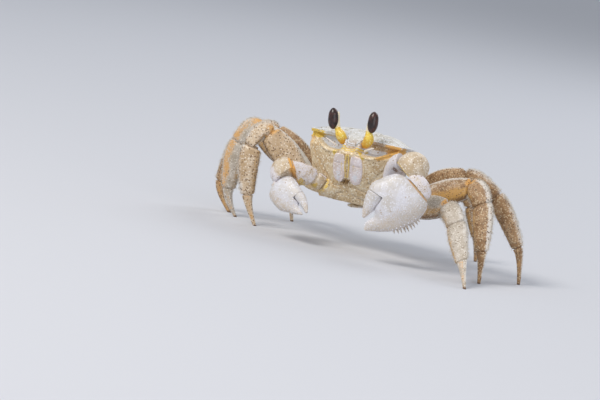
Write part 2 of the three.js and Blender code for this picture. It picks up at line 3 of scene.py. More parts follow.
import bmesh
import bpy
import numpy as np
from mathutils import Matrix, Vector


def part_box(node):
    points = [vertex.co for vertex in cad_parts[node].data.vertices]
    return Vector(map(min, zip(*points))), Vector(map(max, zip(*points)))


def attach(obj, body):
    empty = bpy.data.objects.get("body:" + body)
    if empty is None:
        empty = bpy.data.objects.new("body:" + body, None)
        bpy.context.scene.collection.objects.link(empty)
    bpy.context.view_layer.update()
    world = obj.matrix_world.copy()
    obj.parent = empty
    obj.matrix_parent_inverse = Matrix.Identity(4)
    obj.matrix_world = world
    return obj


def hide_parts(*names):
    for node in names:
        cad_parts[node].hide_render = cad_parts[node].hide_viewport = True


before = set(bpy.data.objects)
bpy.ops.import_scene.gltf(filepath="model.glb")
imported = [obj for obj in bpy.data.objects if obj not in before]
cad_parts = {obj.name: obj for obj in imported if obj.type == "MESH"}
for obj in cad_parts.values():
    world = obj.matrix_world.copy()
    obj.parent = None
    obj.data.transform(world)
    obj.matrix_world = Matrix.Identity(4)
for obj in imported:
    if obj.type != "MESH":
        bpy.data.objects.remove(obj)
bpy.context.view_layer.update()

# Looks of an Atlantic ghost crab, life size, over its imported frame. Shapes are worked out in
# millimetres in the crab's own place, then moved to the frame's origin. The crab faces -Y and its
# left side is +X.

MM = 0.001
TURN = 2 * math.pi
rng = np.random.default_rng(7)

# ------------------------------------------------------------------ sizes, millimetres
TOOTH_HEIGHT = 44.5  # floor to the outer teeth of the orbits
TOOTH_Y = -18.0
PITCH = math.radians(3)  # the front is carried higher
HALF_WIDTH = 19.85  # middle of the back to an outer tooth
DOME = 3.0  # rise of the back over its margin
BODY_DEPTH = 26.5  # margin of the back down to the breastplate
REAR_Y = 31.6  # the rear margin, behind the teeth
MIDDLE = 14.0  # the middle of the back, behind the teeth
ROSTRUM = {"reach": 3.9, "drop": 2.6}  # how far before the teeth the brow ends, and how far below
FLANK_DROP = 5.0  # how far the margin falls from the teeth to the rear
PALM_LENGTH = 26.2
SMALL_PALM_LENGTH = 18.4
CLAW_TIP = 0.45
FOOT_TIP = 0.62
COXA = 3.4  # length of a limb's first joint
KNEE = 4.5  # the bend of a knee starts this far before it
WRIST_AT = 0.68  # share of the way from knee to bend where the next piece starts
ANKLE_AT = 0.8  # and from bend to ankle
HIP_ROOT = 0.6  # a limb's root inside the body, as a share of its hip's distance from the middle
GAP = 0.3  # between the pieces of a limb
SECTION_POINTS = 36  # points round a limb
INNER_BEND = 0.85  # how much of the room inside a bend a section may fill
HARD_EDGE = math.radians(50)
PATCH = 0.003  # side of a hair's patch on the bake map

# Half of the carapace margin: rostrum and orbit up to the tooth, then side and rear.
BROW = [
    (0, -3.9), (1.9, -3.5), (2.7, -1.4), (4.4, 0.9), (7, 2.0), (10.5, 1.4), (14, 0.8), (17.4, 1.4),
    (HALF_WIDTH, 0),
]
FLANK = [
    (HALF_WIDTH, 0), (20.4, 3.2), (20.6, 8), (20.1, 14), (18.7, 20), (16, 25.5), (12, 29.6), (7.5, 31.2),
    (0, REAR_Y),
]
ORBIT = {"top": 1.3, "bottom": 6.6, "corner": 3.0, "inner": 4.0, "outer": 18.6, "back": 3.4}
SEAM = {"brow": -1.45, "face": 4.4, "side": -15.6, "jaw": -19.6}
PLATE = {"top": 7.0, "length": 11.9, "half_width": 3.3, "thick": 0.85, "apart": 0.15}

PAIRS = [
    {"hip": (19.5, -10.5, 20.8), "lean": 0, "reach": (30.5, 14.5, 19.5, 9), "girth": 0.96},
    {"hip": (19.5, -3.5, 22.2), "lean": 0.5, "reach": (36.5, 14.5, 19, 8.5), "girth": 1.03},
    {"hip": (19, 3.5, 24.2), "lean": 1.8, "reach": (33, 17, 21, 10.5), "girth": 1.0},
    {"hip": (14.5, 8, 23.5), "lean": 0, "reach": (27, 11.5, 12.5, 7.5), "girth": 0.7},
]
# Thigh forward, foot forward, shin below the level, and the two bends below it, in degrees.
STANCE = {
    1: [(24, 53, 31, 6, 9), (14, 51, 42, 25, 11), (16, -2, 35, 25, 25), (-39, -46, 63, 9, 11)],
    -1: [(20, 20, 74, 27, 18), (3, 12, 69, 22, 34), (1, -3, 40, 37, 57), (-30, -26, 73, 20, 20)],
}
LARGE_HAND = {
    "length": PALM_LENGTH,
    "upper": [
        (0, 4.4), (2.6, 8.8), (5.6, 10.4), (8.5, 11.3), (11.4, 12.1), (13.4, 12.1), (15.2, 11.0),
        (16.8, 8.4), (18, 4.8), (19, 2.5), (20.2, 1.5), (22, 1.5), (24, 1.7), (PALM_LENGTH, 0.6),
    ],
    "lower": [
        (0, -7.0), (2.4, -8.9), (5.5, -9.9), (9, -9.9), (13.5, -8.9), (18.6, -6.9), (22.4, -4.0),
        (PALM_LENGTH, -0.5),
    ],
    "thick": [(0, 2.6), (4, 4.0), (9, 4.4), (15, 3.6), (20, 2.2), (PALM_LENGTH, 0.6)],
    "finger": ((13.6, 8), (19.4, 6.1), (23.6, 4.0)), "tall": 3.6, "wide": 2.4,
}
SMALL_HAND = {
    "length": SMALL_PALM_LENGTH,
    "upper": [
        (0, 3.4), (2.5, 4.8), (5, 5.4), (8.3, 5.6), (10.8, 5.5), (12.2, 4.2), (13.2, 2.0), (14.4, 1.0),
        (16.4, 0.9), (SMALL_PALM_LENGTH, 1.0),
    ],
    "lower": [
        (0, -5.4), (2.2, -7.4), (6.5, -7.4), (10.5, -6.4), (13.2, -4.2), (16, -2), (SMALL_PALM_LENGTH, 0.2),
    ],
    "thick": [(0, 2.1), (3, 3.0), (7, 3.1), (11, 2.4), (14, 1.5), (SMALL_PALM_LENGTH, 0.5)],
    "finger": ((10.8, 3.7), (15.8, 4.3), (19.4, 2.6)), "tall": 2.1, "wide": 1.5,
}
ARMS = {
    1: {
        "root": (9, -14, 22), "shoulder": (19, -18.4, 22), "bow": (19.7, -25.5, 39.8),
        "end": (28.9, -30.5, 40.3), "tall": (3.4, 5.4), "thick": (2.6, 3.2),
        "elbow": (24.9, -29, 39.2), "seam": (0.89, -0.1, 0.23), "wrist": (34.6, -34, 32.2),
        "tip": (19.8, -40.4, 13.0), "face": (0.32, -0.93, 0.1), "dome": (30.4, -31, 38.8),
        "dome_size": (6.4, 5.4, 6.8), "hand": LARGE_HAND,
    },
    -1: {
        "root": (-6, -14, 22), "shoulder": (-8.5, -18.6, 22), "bow": (-15.2, -25, 26.9),
        "end": (-23.3, -30, 25.2), "tall": (3.2, 6.2), "thick": (2.5, 3.0),
        "elbow": (-19.7, -28.4, 26.9), "seam": (-0.8, -0.4, -0.44), "wrist": (-23.4, -31.4, 22.2),
        "tip": (-8.6, -38.2, 10.4), "face": (-0.05, -0.99, 0.05), "dome": (-23.4, -30, 25.8),
        "dome_size": (5.9, 4.3, 6.2), "hand": SMALL_HAND,
    },
}
EYES = {
    1: {
        "root": (4.4, -19.8, 41.8), "bulb": (6.3, -21.2, 44.9), "cornea": (7.1, -22, 52.2),
        "axis": (-0.06, 0.1, 0.99),
    },
    -1: {
        "root": (-4.2, -19.8, 41.4), "bulb": (-5.7, -21.2, 44.2), "cornea": (-9.9, -22, 50.3),
        "axis": (-0.18, 0.06, 0.98),
    },
}
CORNEA = {"across": 2.2, "up": 4.3}
ARM_SPOT = (22.9, 36.6)  # x and height of a brown mark on the front of the large arm
SIDE = {1: "left", -1: "right"}

low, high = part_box("eye_left")
SHIFT = (np.array(low) + np.array(high)) / 2 / MM - np.array(EYES[1]["cornea"])


# ------------------------------------------------------------------ numbers and curves
def smoothstep(x, start, end):
    t = np.clip((np.asarray(x, float) - start) / (end - start), 0, 1)
    return t * t * (3 - 2 * t)


def lerp(a, b, t):
    return a + (b - a) * t


def unit(v):
    v = np.asarray(v, float)
    return v / np.linalg.norm(v, axis=-1, keepdims=True)


def hump(x, centre, width):
    return np.exp(-(((x - centre) / width) ** 2))


def ripple(points, size, seed):
    """A smooth random value between about -1 and 1 that changes over the given size."""
    waves = np.random.default_rng(seed).normal(size=(7, 3))
    phases = np.arange(7) * 2.4
    return np.sin(points @ waves.T * (2.2 / size) + phases).sum(-1) / 4


def spline(points, steps=12):
    """A smooth curve through the points, with that many steps from each to the next."""
    p = np.array(points, float)
    p = np.vstack([2 * p[0] - p[1], p, 2 * p[-1] - p[-2]])
    t = np.arange(steps)[:, None] / steps
    out = []
    for a, b, c, d in zip(p, p[1:], p[2:], p[3:]):
        before, between, after = (max(np.linalg.norm(v), 1e-6) ** 0.5 for v in (b - a, c - b, d - c))
        leave = ((b - a) / before - (c - a) / (before + between) + (c - b) / between) * between
        arrive = ((c - b) / between - (d - b) / (between + after) + (d - c) / after) * between
        out.append(b + leave * t + (3 * (c - b) - 2 * leave - arrive) * t**2
                   + (2 * (b - c) + leave + arrive) * t**3)
    return np.vstack([*out, p[-2:-1]])


def bezier(a, b, c, t):
    t = np.asarray(t)[:, None]
    return (1 - t) ** 2 * np.array(a) + 2 * t * (1 - t) * np.array(b) + t**2 * np.array(c)


def straight(a, b, t):
    return lerp(np.array(a, float), np.array(b, float), np.asarray(t)[:, None])


def stations(length, step=0.45):
    """Places from 0 to 1 along a piece, closer together where its ends round off."""
    inner = np.linspace(1.5, length - 1.5, max(int(length / step), 4))
    near = np.array([0, 0.12, 0.35, 0.7, 1.1])
    return np.concatenate([near, inner, length - near[::-1]]) / length


def swell(start, middle, end, peak=0.5):
    """A smooth rise and fall between three sizes along a piece."""
    def size(t):
        rise = lerp(start, middle, np.sin(np.clip(t / peak, 0, 1) * math.pi / 2))
        fall = lerp(middle, end, 1 - np.cos(np.clip((t - peak) / (1 - peak), 0, 1) * math.pi / 2))
        return np.where(t < peak, rise, fall)
    return size


def around(count):
    """That many angles, evenly once round."""
    return np.arange(count) / count * TURN


def ball(rows, count):
    """Rings of points on a sphere of radius 1."""
    polar = np.linspace(0.02, math.pi - 0.02, rows)[:, None]
    angle = around(count)
    wide = np.sin(polar)
    return np.stack([wide * np.cos(angle), wide * np.sin(angle), np.cos(polar) + 0 * angle], -1)


# ------------------------------------------------------------------ pieces
class Form:
    """Points, faces and painted values of one piece, gathered from its parts."""

    def __init__(self):
        self.points, self.faces, self.paints, self.count = [], [], [], 0

    def add(self, points, faces, **paint):
        points = np.reshape(points, (-1, 3))
        self.faces += [(np.asarray(group) + self.count).tolist() for group in faces]
        self.points.append(points)
        self.paints.append({key: np.broadcast_to(value, len(points)) for key, value in paint.items()})
        self.count += len(points)

    def skin(self, rings, **paint):
        """Adds a closed skin through the rings. A paint is one value, or one for each of their points."""
        shown = {key: with_ends(np.broadcast_to(value, rings.shape[:2])) for key, value in paint.items()}
        self.add(*capped(rings), **shown)

    def painted(self):
        keys = {key for paint in self.paints for key in paint}
        sizes = [len(points) for points in self.points]
        return {key: np.concatenate([paint.get(key, np.zeros(n)) for paint, n in zip(self.paints, sizes)])
                for key in sorted(keys)}


def piece(name, form, finish, nodes=()):
    """Makes one object of the form, which rides with the crab and stands for its CAD nodes."""
    mesh = bpy.data.meshes.new(name)
    faces = [face for group in form.faces for face in group]
    mesh.from_pydata(((np.vstack(form.points) + SHIFT) * MM).tolist(), [], faces)
    paint = form.painted()
    if "flat_x" in paint:
        flat = np.stack([paint.pop("flat_x"), paint.pop("flat_y")], -1)
        corner = np.empty(len(mesh.loops), int)
        mesh.loops.foreach_get("vertex_index", corner)
        mesh.uv_layers.new(name="OFBake").data.foreach_set("uv", flat[corner].ravel())
    for key, values in paint.items():
        mesh.attributes.new(key, "FLOAT", "POINT").data.foreach_set("value", values.astype(np.float32))
    shape = bmesh.new()
    shape.from_mesh(mesh)
    bmesh.ops.recalc_face_normals(shape, faces=shape.faces)
    shape.to_mesh(mesh)
    shape.free()
    mesh.polygons.foreach_set("use_smooth", [True] * len(mesh.polygons))
    mesh.materials.append(finish)
    made = bpy.data.objects.new(name, mesh)
    bpy.context.scene.collection.objects.link(made)
    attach(made, "root")
    if nodes:
        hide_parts(*nodes)
    return made


def grid(rows, count):
    """Four-sided faces between rings of points."""
    i = np.arange(rows - 1)[:, None] * count
    j = np.arange(count)[None, :]
    k = (j + 1) % count
    return np.stack([i + j, i + k, i + count + k, i + count + j], -1).reshape(-1, 4)


def capped(rings):
    """Points and faces of a skin through the rings, with a fan over each end."""
    rows, count, _ = rings.shape
    points = np.vstack([rings.reshape(-1, 3), rings[0].mean(0), rings[-1].mean(0)])
    last_ring = (rows - 1) * count
    j = np.arange(count)
    k = (j + 1) % count
    first = np.stack([k, j, np.full(count, rows * count)], -1)
    last = np.stack([j + last_ring, k + last_ring, np.full(count, rows * count + 1)], -1)
    return points, [grid(rows, count), first, last]


def with_ends(values):
    """Values of a capped skin's points, from those of its rings."""
    values = np.asarray(values, float)
    return np.concatenate([values.ravel(), [values[0].mean(), values[-1].mean()]])


def carried(centres, up):
    """Directions along a line of centres, and up carried along it without twist."""
    along = unit(np.gradient(centres, axis=0))
    dorsal = np.empty_like(along)
    for i, direction in enumerate(along):
        up = unit(up - direction * (up @ direction))
        dorsal[i] = up
    return along, dorsal


def tube(centres, up, tall, thick, crest=0.3, count=SECTION_POINTS, rounding=1.0, ridges=0.0):
    """Sections along the centres. Returns the rings, how dorsal and how far along each point is."""
    steps = np.linalg.norm(np.diff(centres, axis=0), axis=1)
    run = np.concatenate([[0], np.cumsum(steps)])
    along, dorsal = carried(centres, np.asarray(up, float))
    across = np.cross(along, dorsal)
    closing = dorsal @ along.T
    away = np.einsum("ijk,jk->ij", centres[:, None] - centres[None], along)
    with np.errstate(divide="ignore", invalid="ignore"):
        room = np.where(away / closing > 1e-6, away / closing, np.inf).min(1)
    end = np.minimum(run, run[-1] - run)
    ends = 1 - 0.32 * np.clip(1 - end / rounding, 0, 1) ** 2 if rounding else 1
    tall, thick = np.broadcast_to(tall, run.shape) * ends, np.broadcast_to(thick, run.shape) * ends
    under = np.minimum(tall, INNER_BEND * room)
    angle = around(count)
    rise, side = np.cos(angle), np.sin(angle)
    height = np.where(rise < 0, under[:, None], tall[:, None]) * rise
    spread = thick[:, None] * side * (1 - crest * rise) * (1 + ridges * np.cos(angle * 8))
    rings = centres[:, None] + dorsal[:, None] * height[..., None] + across[:, None] * spread[..., None]
    return rings, np.broadcast_to(rise, height.shape), np.repeat(run[:, None], count, 1)


def cuff(form, start, end, up, size, **paint):
    """The soft skin of a joint, which shows inside its gap."""
    form.skin(tube(straight(start, end, np.linspace(0, 1, 5)), up, *size, rounding=0)[0], **paint)


def stud(count, sunk, waist, shoulder, top):
    """A small shape that stands on a surface: a ring at its foot, one at its shoulder and a point."""
    ring = around(count)
    foot = np.stack([np.cos(ring), np.sin(ring), np.full(count, -sunk)], -1)
    points = np.vstack([foot, foot * waist + [0, 0, shoulder], [[0, 0, top]]])
    j = np.arange(count)
    tip = np.stack([j + count, (j + 1) % count + count, np.full(count, 2 * count)], -1)
    return points, [grid(2, count), tip]


BEAD = stud(6, 0.15, 0.72, 0.62, 0.86)
SPINE = stud(7, 0.1, [0.55, 0.55, 1], 0.6, 1)


def beads(form, centres, normals, sizes, **paint):
    """Small rounded granules standing on a surface."""
    place(form, BEAD, centres, normals, np.repeat(np.atleast_1d(sizes)[:, None], 3, 1), **paint)


def spikes(form, centres, normals, lengths, widths, **paint):
    """Conical spines standing on a surface."""
    widths = np.broadcast_to(widths, len(centres))
    lengths = np.broadcast_to(lengths, len(centres))
    place(form, SPINE, centres, normals, np.stack([widths, widths, lengths], -1), **paint)


def place(form, kind, centres, normals, sizes, **paint):
    """Copies a small shape on to many places, each turned so that its z axis is the normal there."""
    shape, faces = kind
    normals = unit(normals)
    helper = np.where(np.abs(normals[:, :1]) < 0.8, [[1.0, 0, 0]], [[0, 1.0, 0]])
    first = unit(np.cross(normals, helper))
    second = np.cross(normals, first)
    local = shape[None] * sizes[:, None]
    points = (centres[:, None] + local[..., :1] * first[:, None] + local[..., 1:2] * second[:, None]
              + local[..., 2:] * normals[:, None])
    add_copies(form, points, faces, paint)


def add_copies(form, points, faces, paint, **flat):
    """Adds many copies of one shape: points by copy, the faces of one, and a paint for each copy."""
    copies, size, _ = points.shape
    shift = np.arange(copies)[:, None, None] * size
    every = [(np.asarray(group)[None] + shift).reshape(-1, np.shape(group)[1]) for group in faces]
    painted = {key: np.repeat(np.broadcast_to(value, copies), size) for key, value in paint.items()}
    form.add(points, every, **painted, **flat)


def bristles(form, roots, directions, lengths, unwrap, width=0.09, droop=0.25):
    """Fine setae: thin three-sided hairs that bend a little downwards. unwrap gives each root's place
    on the skin laid out flat, where the hair gets a small patch of its own."""
    ring = around(3)
    directions = unit(directions)
    first = unit(np.cross(directions, [[0.3, 0.2, 1.0]]))
    second = np.cross(directions, first)
    lengths = lengths[:, None]
    rows = []
    for t, taper in ((0, 1), (0.5, 0.75), (1, 0.15)):
        centre = roots + directions * lengths * t
        centre[:, 2] -= (lengths[:, 0] * droop) * t**2
        offset = np.cos(ring)[None, :, None] * first[:, None] + np.sin(ring)[None, :, None] * second[:, None]
        rows.append(centre[:, None] + offset * (width * taper))
    points = np.stack(rows, 1).reshape(len(roots), 9, 3)
    row, column = np.divmod(np.arange(9), 3)
    patch = np.stack([column, row], -1) * (PATCH / 2)
    flat = (np.asarray(unwrap)[:, None] + patch[None]).reshape(-1, 2)
    add_copies(form, points, [grid(3, 3)], {}, flat_x=flat[:, 0], flat_y=flat[:, 1])


def skin_normals(rings):
    """The outward direction at each point of a skin."""
    du = np.roll(rings, -1, 1) - np.roll(rings, 1, 1)
    normal = unit(np.cross(du, np.gradient(rings, axis=0)) + 1e-9)
    outward = rings - rings.mean((0, 1))
    return normal * np.sign((normal * outward).sum(-1).mean())


def scattered(rings, total, first, last):
    """Random points of a skin, as their rows and columns, that keep some rows away from its ends."""
    rows, count, _ = rings.shape
    return rng.integers(first, rows - last, total), rng.integers(0, count, total)


# ------------------------------------------------------------------ finishes
def linear(hexcode):
    """An sRGB hex colour as linear red, green and blue."""
    srgb = [int(hexcode[i:i + 2], 16) / 255 for i in (0, 2, 4)]
    return [c / 12.92 if c <= 0.04045 else ((c + 0.055) / 1.055) ** 2.4 for c in srgb] + [1.0]


def add(tree, kind, inputs=None, **settings):
    """Adds a node with its settings, and links its inputs to other nodes or sets them."""
    node = tree.nodes.new("ShaderNode" + kind)
    for key, value in settings.items():
        setattr(node, key, value)
    for key, value in (inputs or {}).items():
        if isinstance(value, bpy.types.Node):
            value = value.outputs[0]
        if isinstance(value, bpy.types.NodeSocket):
            tree.links.new(value, node.inputs[key])
        else:
            node.inputs[key].default_value = value
    return node


def new_finish(name):
    """An empty material and its tree."""
    finish = bpy.data.materials.new(name)
    finish.use_nodes = True
    finish.node_tree.nodes.clear()
    return finish, finish.node_tree


# Settings and sockets of the two nodes that are used most: a mix of colours and an eased range.
MIX = {"data_type": "RGBA", "clamp_factor": True}
FACTOR, FIRST, SECOND, MIXED = 0, 6, 7, 2
EASED = {"interpolation_type": "SMOOTHSTEP"}
VALUE, FROM_LOW, FROM_HIGH, TO_LOW, TO_HIGH = range(5)


def cuticle(name, tones, paints, grain=0.6, relief=0.14, roughness=0.5, coat=0.1, light_share=0.4,
            dark_share=0.14, mottle=5.0):
    """Calcified cuticle: a matt chalky shell, grown in one piece at each moult, whose surface is set
    with granules. Each granule catches the light and differs a little in colour from the next. The
    tones are those of hollows, body, light granules and dark ones; grain, relief and mottle are the
    sizes of a granule, its height and a blotch in millimetres. The paints are stripes and marks."""
    finish, tree = new_finish(name)
    deep, body, light, specks = (linear(tone) for tone in tones)
    here = add(tree, "TexCoord").outputs["Object"]
    cells = add(tree, "TexVoronoi", {"Vector": here, "Scale": 1 / (grain * MM)})
    blotch = {"Vector": here, "Scale": 1 / (mottle * MM), "Detail": 4.0, "Roughness": 0.6}
    blotch = add(tree, "TexNoise", blotch)
    fine = add(tree, "TexNoise", {"Vector": here, "Scale": 1 / (0.45 * MM), "Detail": 2.0})
    pick = add(tree, "SeparateColor", {"Color": cells.outputs["Color"]})
    spot = add(tree, "MapRange", {VALUE: cells, FROM_LOW: 0.62, FROM_HIGH: 0.30}, **EASED)
    ground = add(tree, "MapRange", {VALUE: blotch, FROM_LOW: 0.36, FROM_HIGH: 0.62}, **EASED)
    colour = add(tree, "Mix", {FACTOR: ground, FIRST: deep, SECOND: body}, **MIX).outputs[MIXED]
    granules = []
    for channel, share in (("Red", light_share), ("Green", dark_share)):
        chosen = {VALUE: pick.outputs[channel], FROM_LOW: 1 - share, FROM_HIGH: 1.04 - share}
        chosen = add(tree, "MapRange", chosen, **EASED)
        granules.append(add(tree, "Math", {0: spot, 1: chosen}, operation="MULTIPLY"))
    colour = add(tree, "Mix", {FACTOR: granules[0], FIRST: colour, SECOND: light}, **MIX).outputs[MIXED]
    # The edge of a painted mark wanders with the noise, so that it looks grown.
    wander = add(tree, "Math", {0: fine, 1: blotch}, operation="ADD")
    wander = add(tree, "Math", {0: wander, 1: 1.0}, operation="SUBTRACT")
    wander = add(tree, "Math", {0: wander, 1: 1.1}, operation="MULTIPLY")
    wander = add(tree, "Math", {0: wander, 1: 0.5}, operation="ADD")
    for key, paint in paints.items():
        layer = add(tree, "Attribute", attribute_name=key).outputs["Fac"]
        shown = add(tree, "Math", {0: layer, 1: wander}, operation="ADD")
        shown = add(tree, "MapRange", {VALUE: shown, FROM_LOW: 0.75, FROM_HIGH: 1.25, TO_HIGH: 0.92}, **EASED)
        colour = add(tree, "Mix", {FACTOR: shown, FIRST: colour, SECOND: linear(paint)}, **MIX).outputs[MIXED]
    colour = add(tree, "Mix", {FACTOR: granules[1], FIRST: colour, SECOND: specks}, **MIX).outputs[MIXED]
    bulge = add(tree, "Math", {0: cells, 1: -1.0}, operation="MULTIPLY")
    grit = add(tree, "Math", {0: fine, 1: 0.5}, operation="MULTIPLY")
    height = add(tree, "Math", {0: bulge, 1: grit}, operation="ADD")
    bump = add(tree, "Bump", {"Height": height, "Strength": 0.9, "Distance": relief * MM})
    rough = {VALUE: fine, FROM_LOW: 0.3, FROM_HIGH: 0.7, TO_LOW: roughness - 0.08, TO_HIGH: roughness + 0.1}
    rough = add(tree, "MapRange", rough, **EASED)
    shader = add(tree, "BsdfPrincipled", {"Base Color": colour, "Roughness": rough, "Normal": bump,
                                          "Coat Weight": coat, "Coat Roughness": 0.35})
    add(tree, "OutputMaterial", {"Surface": shader})
    return finish


def cornea_glaze():
    """Cornea: smooth clear cuticle over dark facets, so it is nearly black-red with a wet gloss."""
    finish, tree = new_finish("facetted cornea")
    here = add(tree, "TexCoord").outputs["Object"]
    facets = add(tree, "TexVoronoi", {"Vector": here, "Scale": 1 / (0.22 * MM)})
    cloud = add(tree, "TexNoise", {"Vector": here, "Scale": 1 / (2.4 * MM), "Detail": 3.0})
    cloud = add(tree, "MapRange", {VALUE: cloud, FROM_LOW: 0.4, FROM_HIGH: 0.66}, **EASED)
    colour = add(tree, "Mix", {FACTOR: cloud, FIRST: linear("1C0D0D"), SECOND: linear("4A2823")}, **MIX)
    bump = add(tree, "Bump", {"Height": facets, "Strength": 0.25, "Distance": 0.02 * MM})
    shader = add(tree, "BsdfPrincipled", {"Base Color": colour.outputs[MIXED], "Roughness": 0.34,
                                          "Normal": bump, "Coat Weight": 0.3, "Coat Roughness": 0.2})
    add(tree, "OutputMaterial", {"Surface": shader})
    return finish


def seta_horn(name, root, tip):
    """Setae: uncalcified chitin, translucent brown to straw, darker in some hairs than in others."""
    finish, tree = new_finish(name)
    here = add(tree, "TexCoord").outputs["Object"]
    cloud = add(tree, "TexNoise", {"Vector": here, "Scale": 1 / (1.2 * MM)})
    cloud = add(tree, "MapRange", {VALUE: cloud, FROM_LOW: 0.4, FROM_HIGH: 0.6}, **EASED)
    colour = add(tree, "Mix", {FACTOR: cloud, FIRST: linear(root), SECOND: linear(tip)}, **MIX)
    shader = add(tree, "BsdfPrincipled", {"Base Color": colour.outputs[MIXED], "Roughness": 0.45})
    add(tree, "OutputMaterial", {"Surface": shader})
    return finish


# The dark paint is partly the crab's own marks and partly painted shade: under the left brow, along the
# sutures below the mouth and along the undersides of the legs.
BODY_PAINTS = {"pale": "DDE0E6", "stain": "D6A450", "yellow": "E3C24A", "dark": "A58A72"}
MOUTH_PAINTS = {**BODY_PAINTS, "yellow": "E4C766"}
LEG_PAINTS = {"pale": "DEDAD4", "stain": "D6A052", "yellow": "B98F4C", "dark": "755639"}
CLAW_PAINTS = {"pale": "EBEAF0", "stain": "CCBFAE", "yellow": "C99A5E", "dark": "8F7A66"}
ARM_PAINTS = {"pale": "E4E0E6", "stain": "DC9F3C", "yellow": "D0AE4A", "dark": "6F4A34"}
STALK_PAINTS = {"pale": "EFE6CE", "stain": "DB9C30", "yellow": "EBCB3F", "dark": "8A6A2A"}

BACK_SHELL = cuticle("blue-grey granular cuticle", ("BDB9AE", "D3D4D3", "ECECEE", "A1957F"), BODY_PAINTS,
                     grain=0.7, relief=0.12, light_share=0.45, dark_share=0.1, mottle=7)
FACE_SHELL = cuticle("straw granular cuticle", ("CBAF84", "E2CFAC", "F3EAD6", "A98A62"), BODY_PAINTS,
                     grain=0.7, light_share=0.5, dark_share=0.16, mottle=4)
MOUTH_SHELL = cuticle("lavender smooth cuticle", ("D8C9C0", "E8DEE0", "F4F0F2", "BFA58E"), MOUTH_PAINTS,
                      relief=0.05, coat=0.25, dark_share=0.05)
CLAW_SHELL = cuticle("porcelain granular cuticle", ("CEC9C4", "DBDBE2", "E4E4EA", "BDAEA0"), CLAW_PAINTS,
                     grain=0.7, relief=0.09, roughness=0.42, coat=0.2, dark_share=0.05, mottle=6)
ARM_SHELL = cuticle("tan granular cuticle", ("C0AA8A", "D5C6B0", "E8DFD2", "9A8062"), ARM_PAINTS,
                    grain=0.65, relief=0.1, dark_share=0.1, mottle=4)
GOLD_SHELL = cuticle("golden granular cuticle", ("8C6B48", "B08E69", "CDB999", "624730"), LEG_PAINTS,
                     light_share=0.5, dark_share=0.2)
SAND_SHELL = cuticle("sandy granular cuticle", ("AFA392", "C8BFB3", "DDD7CE", "877560"), LEG_PAINTS,
                     relief=0.12, dark_share=0.12)
CREAM_SHELL = cuticle("cream spotted cuticle", ("BDA17D", "D7C2A6", "EBDFCE", "7A5B3A"), LEG_PAINTS,
                      grain=0.65, dark_share=0.3)
STALK_SHELL = cuticle("yellow eyestalk cuticle", ("D9A838", "EBCB4C", "F6E596", "C29A3A"), STALK_PAINTS,
                      relief=0.05, roughness=0.4, coat=0.2, dark_share=0.05, mottle=2.5)
DARK_SETAE = seta_horn("brown mouth setae", "5C4228", "A5804A")
PALE_SETAE = seta_horn("straw leg setae", "C6BBA8", "ECE7DE")
CORNEA_GLAZE = cornea_glaze()


# ------------------------------------------------------------------ body
def lean_in(depth):
    """How far the sides have drawn in at a depth below the margin."""
    return 0.1 * depth + 0.0065 * depth**2


def face_profile(depth):
    """How far forward the middle of the face is: out to the mouth frame, then back to the breast."""
    if depth < 6.3:
        return lerp(-3.9, -6.3, float(smoothstep(depth, 2, 6.3)))
    return -6.3 + 0.357 * (depth - 6.3) + 0.0062 * (depth - 6.3) ** 2


def face_y(x, depth):
    return face_profile(depth) + 6.4 * (np.abs(x) / 19.5) ** 2.2


def orbit_bottom(x):
    """The lower rim of the orbit, which rises towards the outer tooth."""
    return lerp(ORBIT["bottom"], ORBIT["corner"], smoothstep(np.abs(x), 9, ORBIT["outer"]))


def hollow(x, depth):
    """1 inside an orbit, 0 outside it."""
    wide = np.abs(x)
    inner = smoothstep(wide, ORBIT["inner"] - 1, ORBIT["inner"] + 1.6)
    open_to = inner * (1 - smoothstep(wide, ORBIT["outer"] - 2, ORBIT["outer"]))
    bottom = orbit_bottom(x)
    return open_to * (1 - smoothstep(depth - bottom, -1.6, 0)) * (depth > ORBIT["top"])


def rostrum_drop(y):
    """How far the brow hangs below the teeth, at the rostrum between the eyes."""
    return ROSTRUM["drop"] * (np.maximum(-y, 0) / ROSTRUM["reach"]) ** 1.5


def flank_drop(y):
    """How far the margin has fallen behind the teeth."""
    return FLANK_DROP * (y / REAR_Y) ** 2


HALF_MARGIN = np.vstack([spline(BROW, 9), spline(FLANK, 8)[1:]])


def mirrored(half):
    other = half[1:-1][::-1] * [-1, 1, 1]
    return np.vstack([half, other])


def body_ring(depth):
    """One level of the body, in the body's own place."""
    x0, y0 = HALF_MARGIN.T
    x = x0 * (1 - lean_in(depth) / 20)
    y = np.where(y0 > MIDDLE, MIDDLE + (y0 - MIDDLE) * (1 - lean_in(depth) / 17), y0)
    if depth > ORBIT["top"]:
        front = 1 - smoothstep(y0, 1.5, 8)
        y = lerp(y, lerp(face_y(x, depth), ORBIT["back"], hollow(x, depth)), front)
    droop = np.where(y0 < 0, rostrum_drop(y0), flank_drop(y0))
    z = -depth - droop * np.clip(1 - depth / 9, 0, 1)
    return mirrored(np.stack([x, y, z], -1))


def dome_ring(scale):
    """One level of the back: the margin drawn in by a scale and raised towards the middle."""
    middle = np.array([0, MIDDLE, 0])
    edge = body_ring(0)
    ring = (edge - middle) * scale + middle
    ring[:, 2] = edge[:, 2] * scale**2 + DOME * (1 - scale**2.4)
    return ring


def posed(points):
    """From the body's own place to the crab's."""
    x, y, z = np.moveaxis(np.asarray(points, float), -1, 0)
    c, s = math.cos(PITCH), math.sin(PITCH)
    return np.stack([x, TOOTH_Y + y * c + z * s, TOOTH_HEIGHT - y * s + z * c], -1)


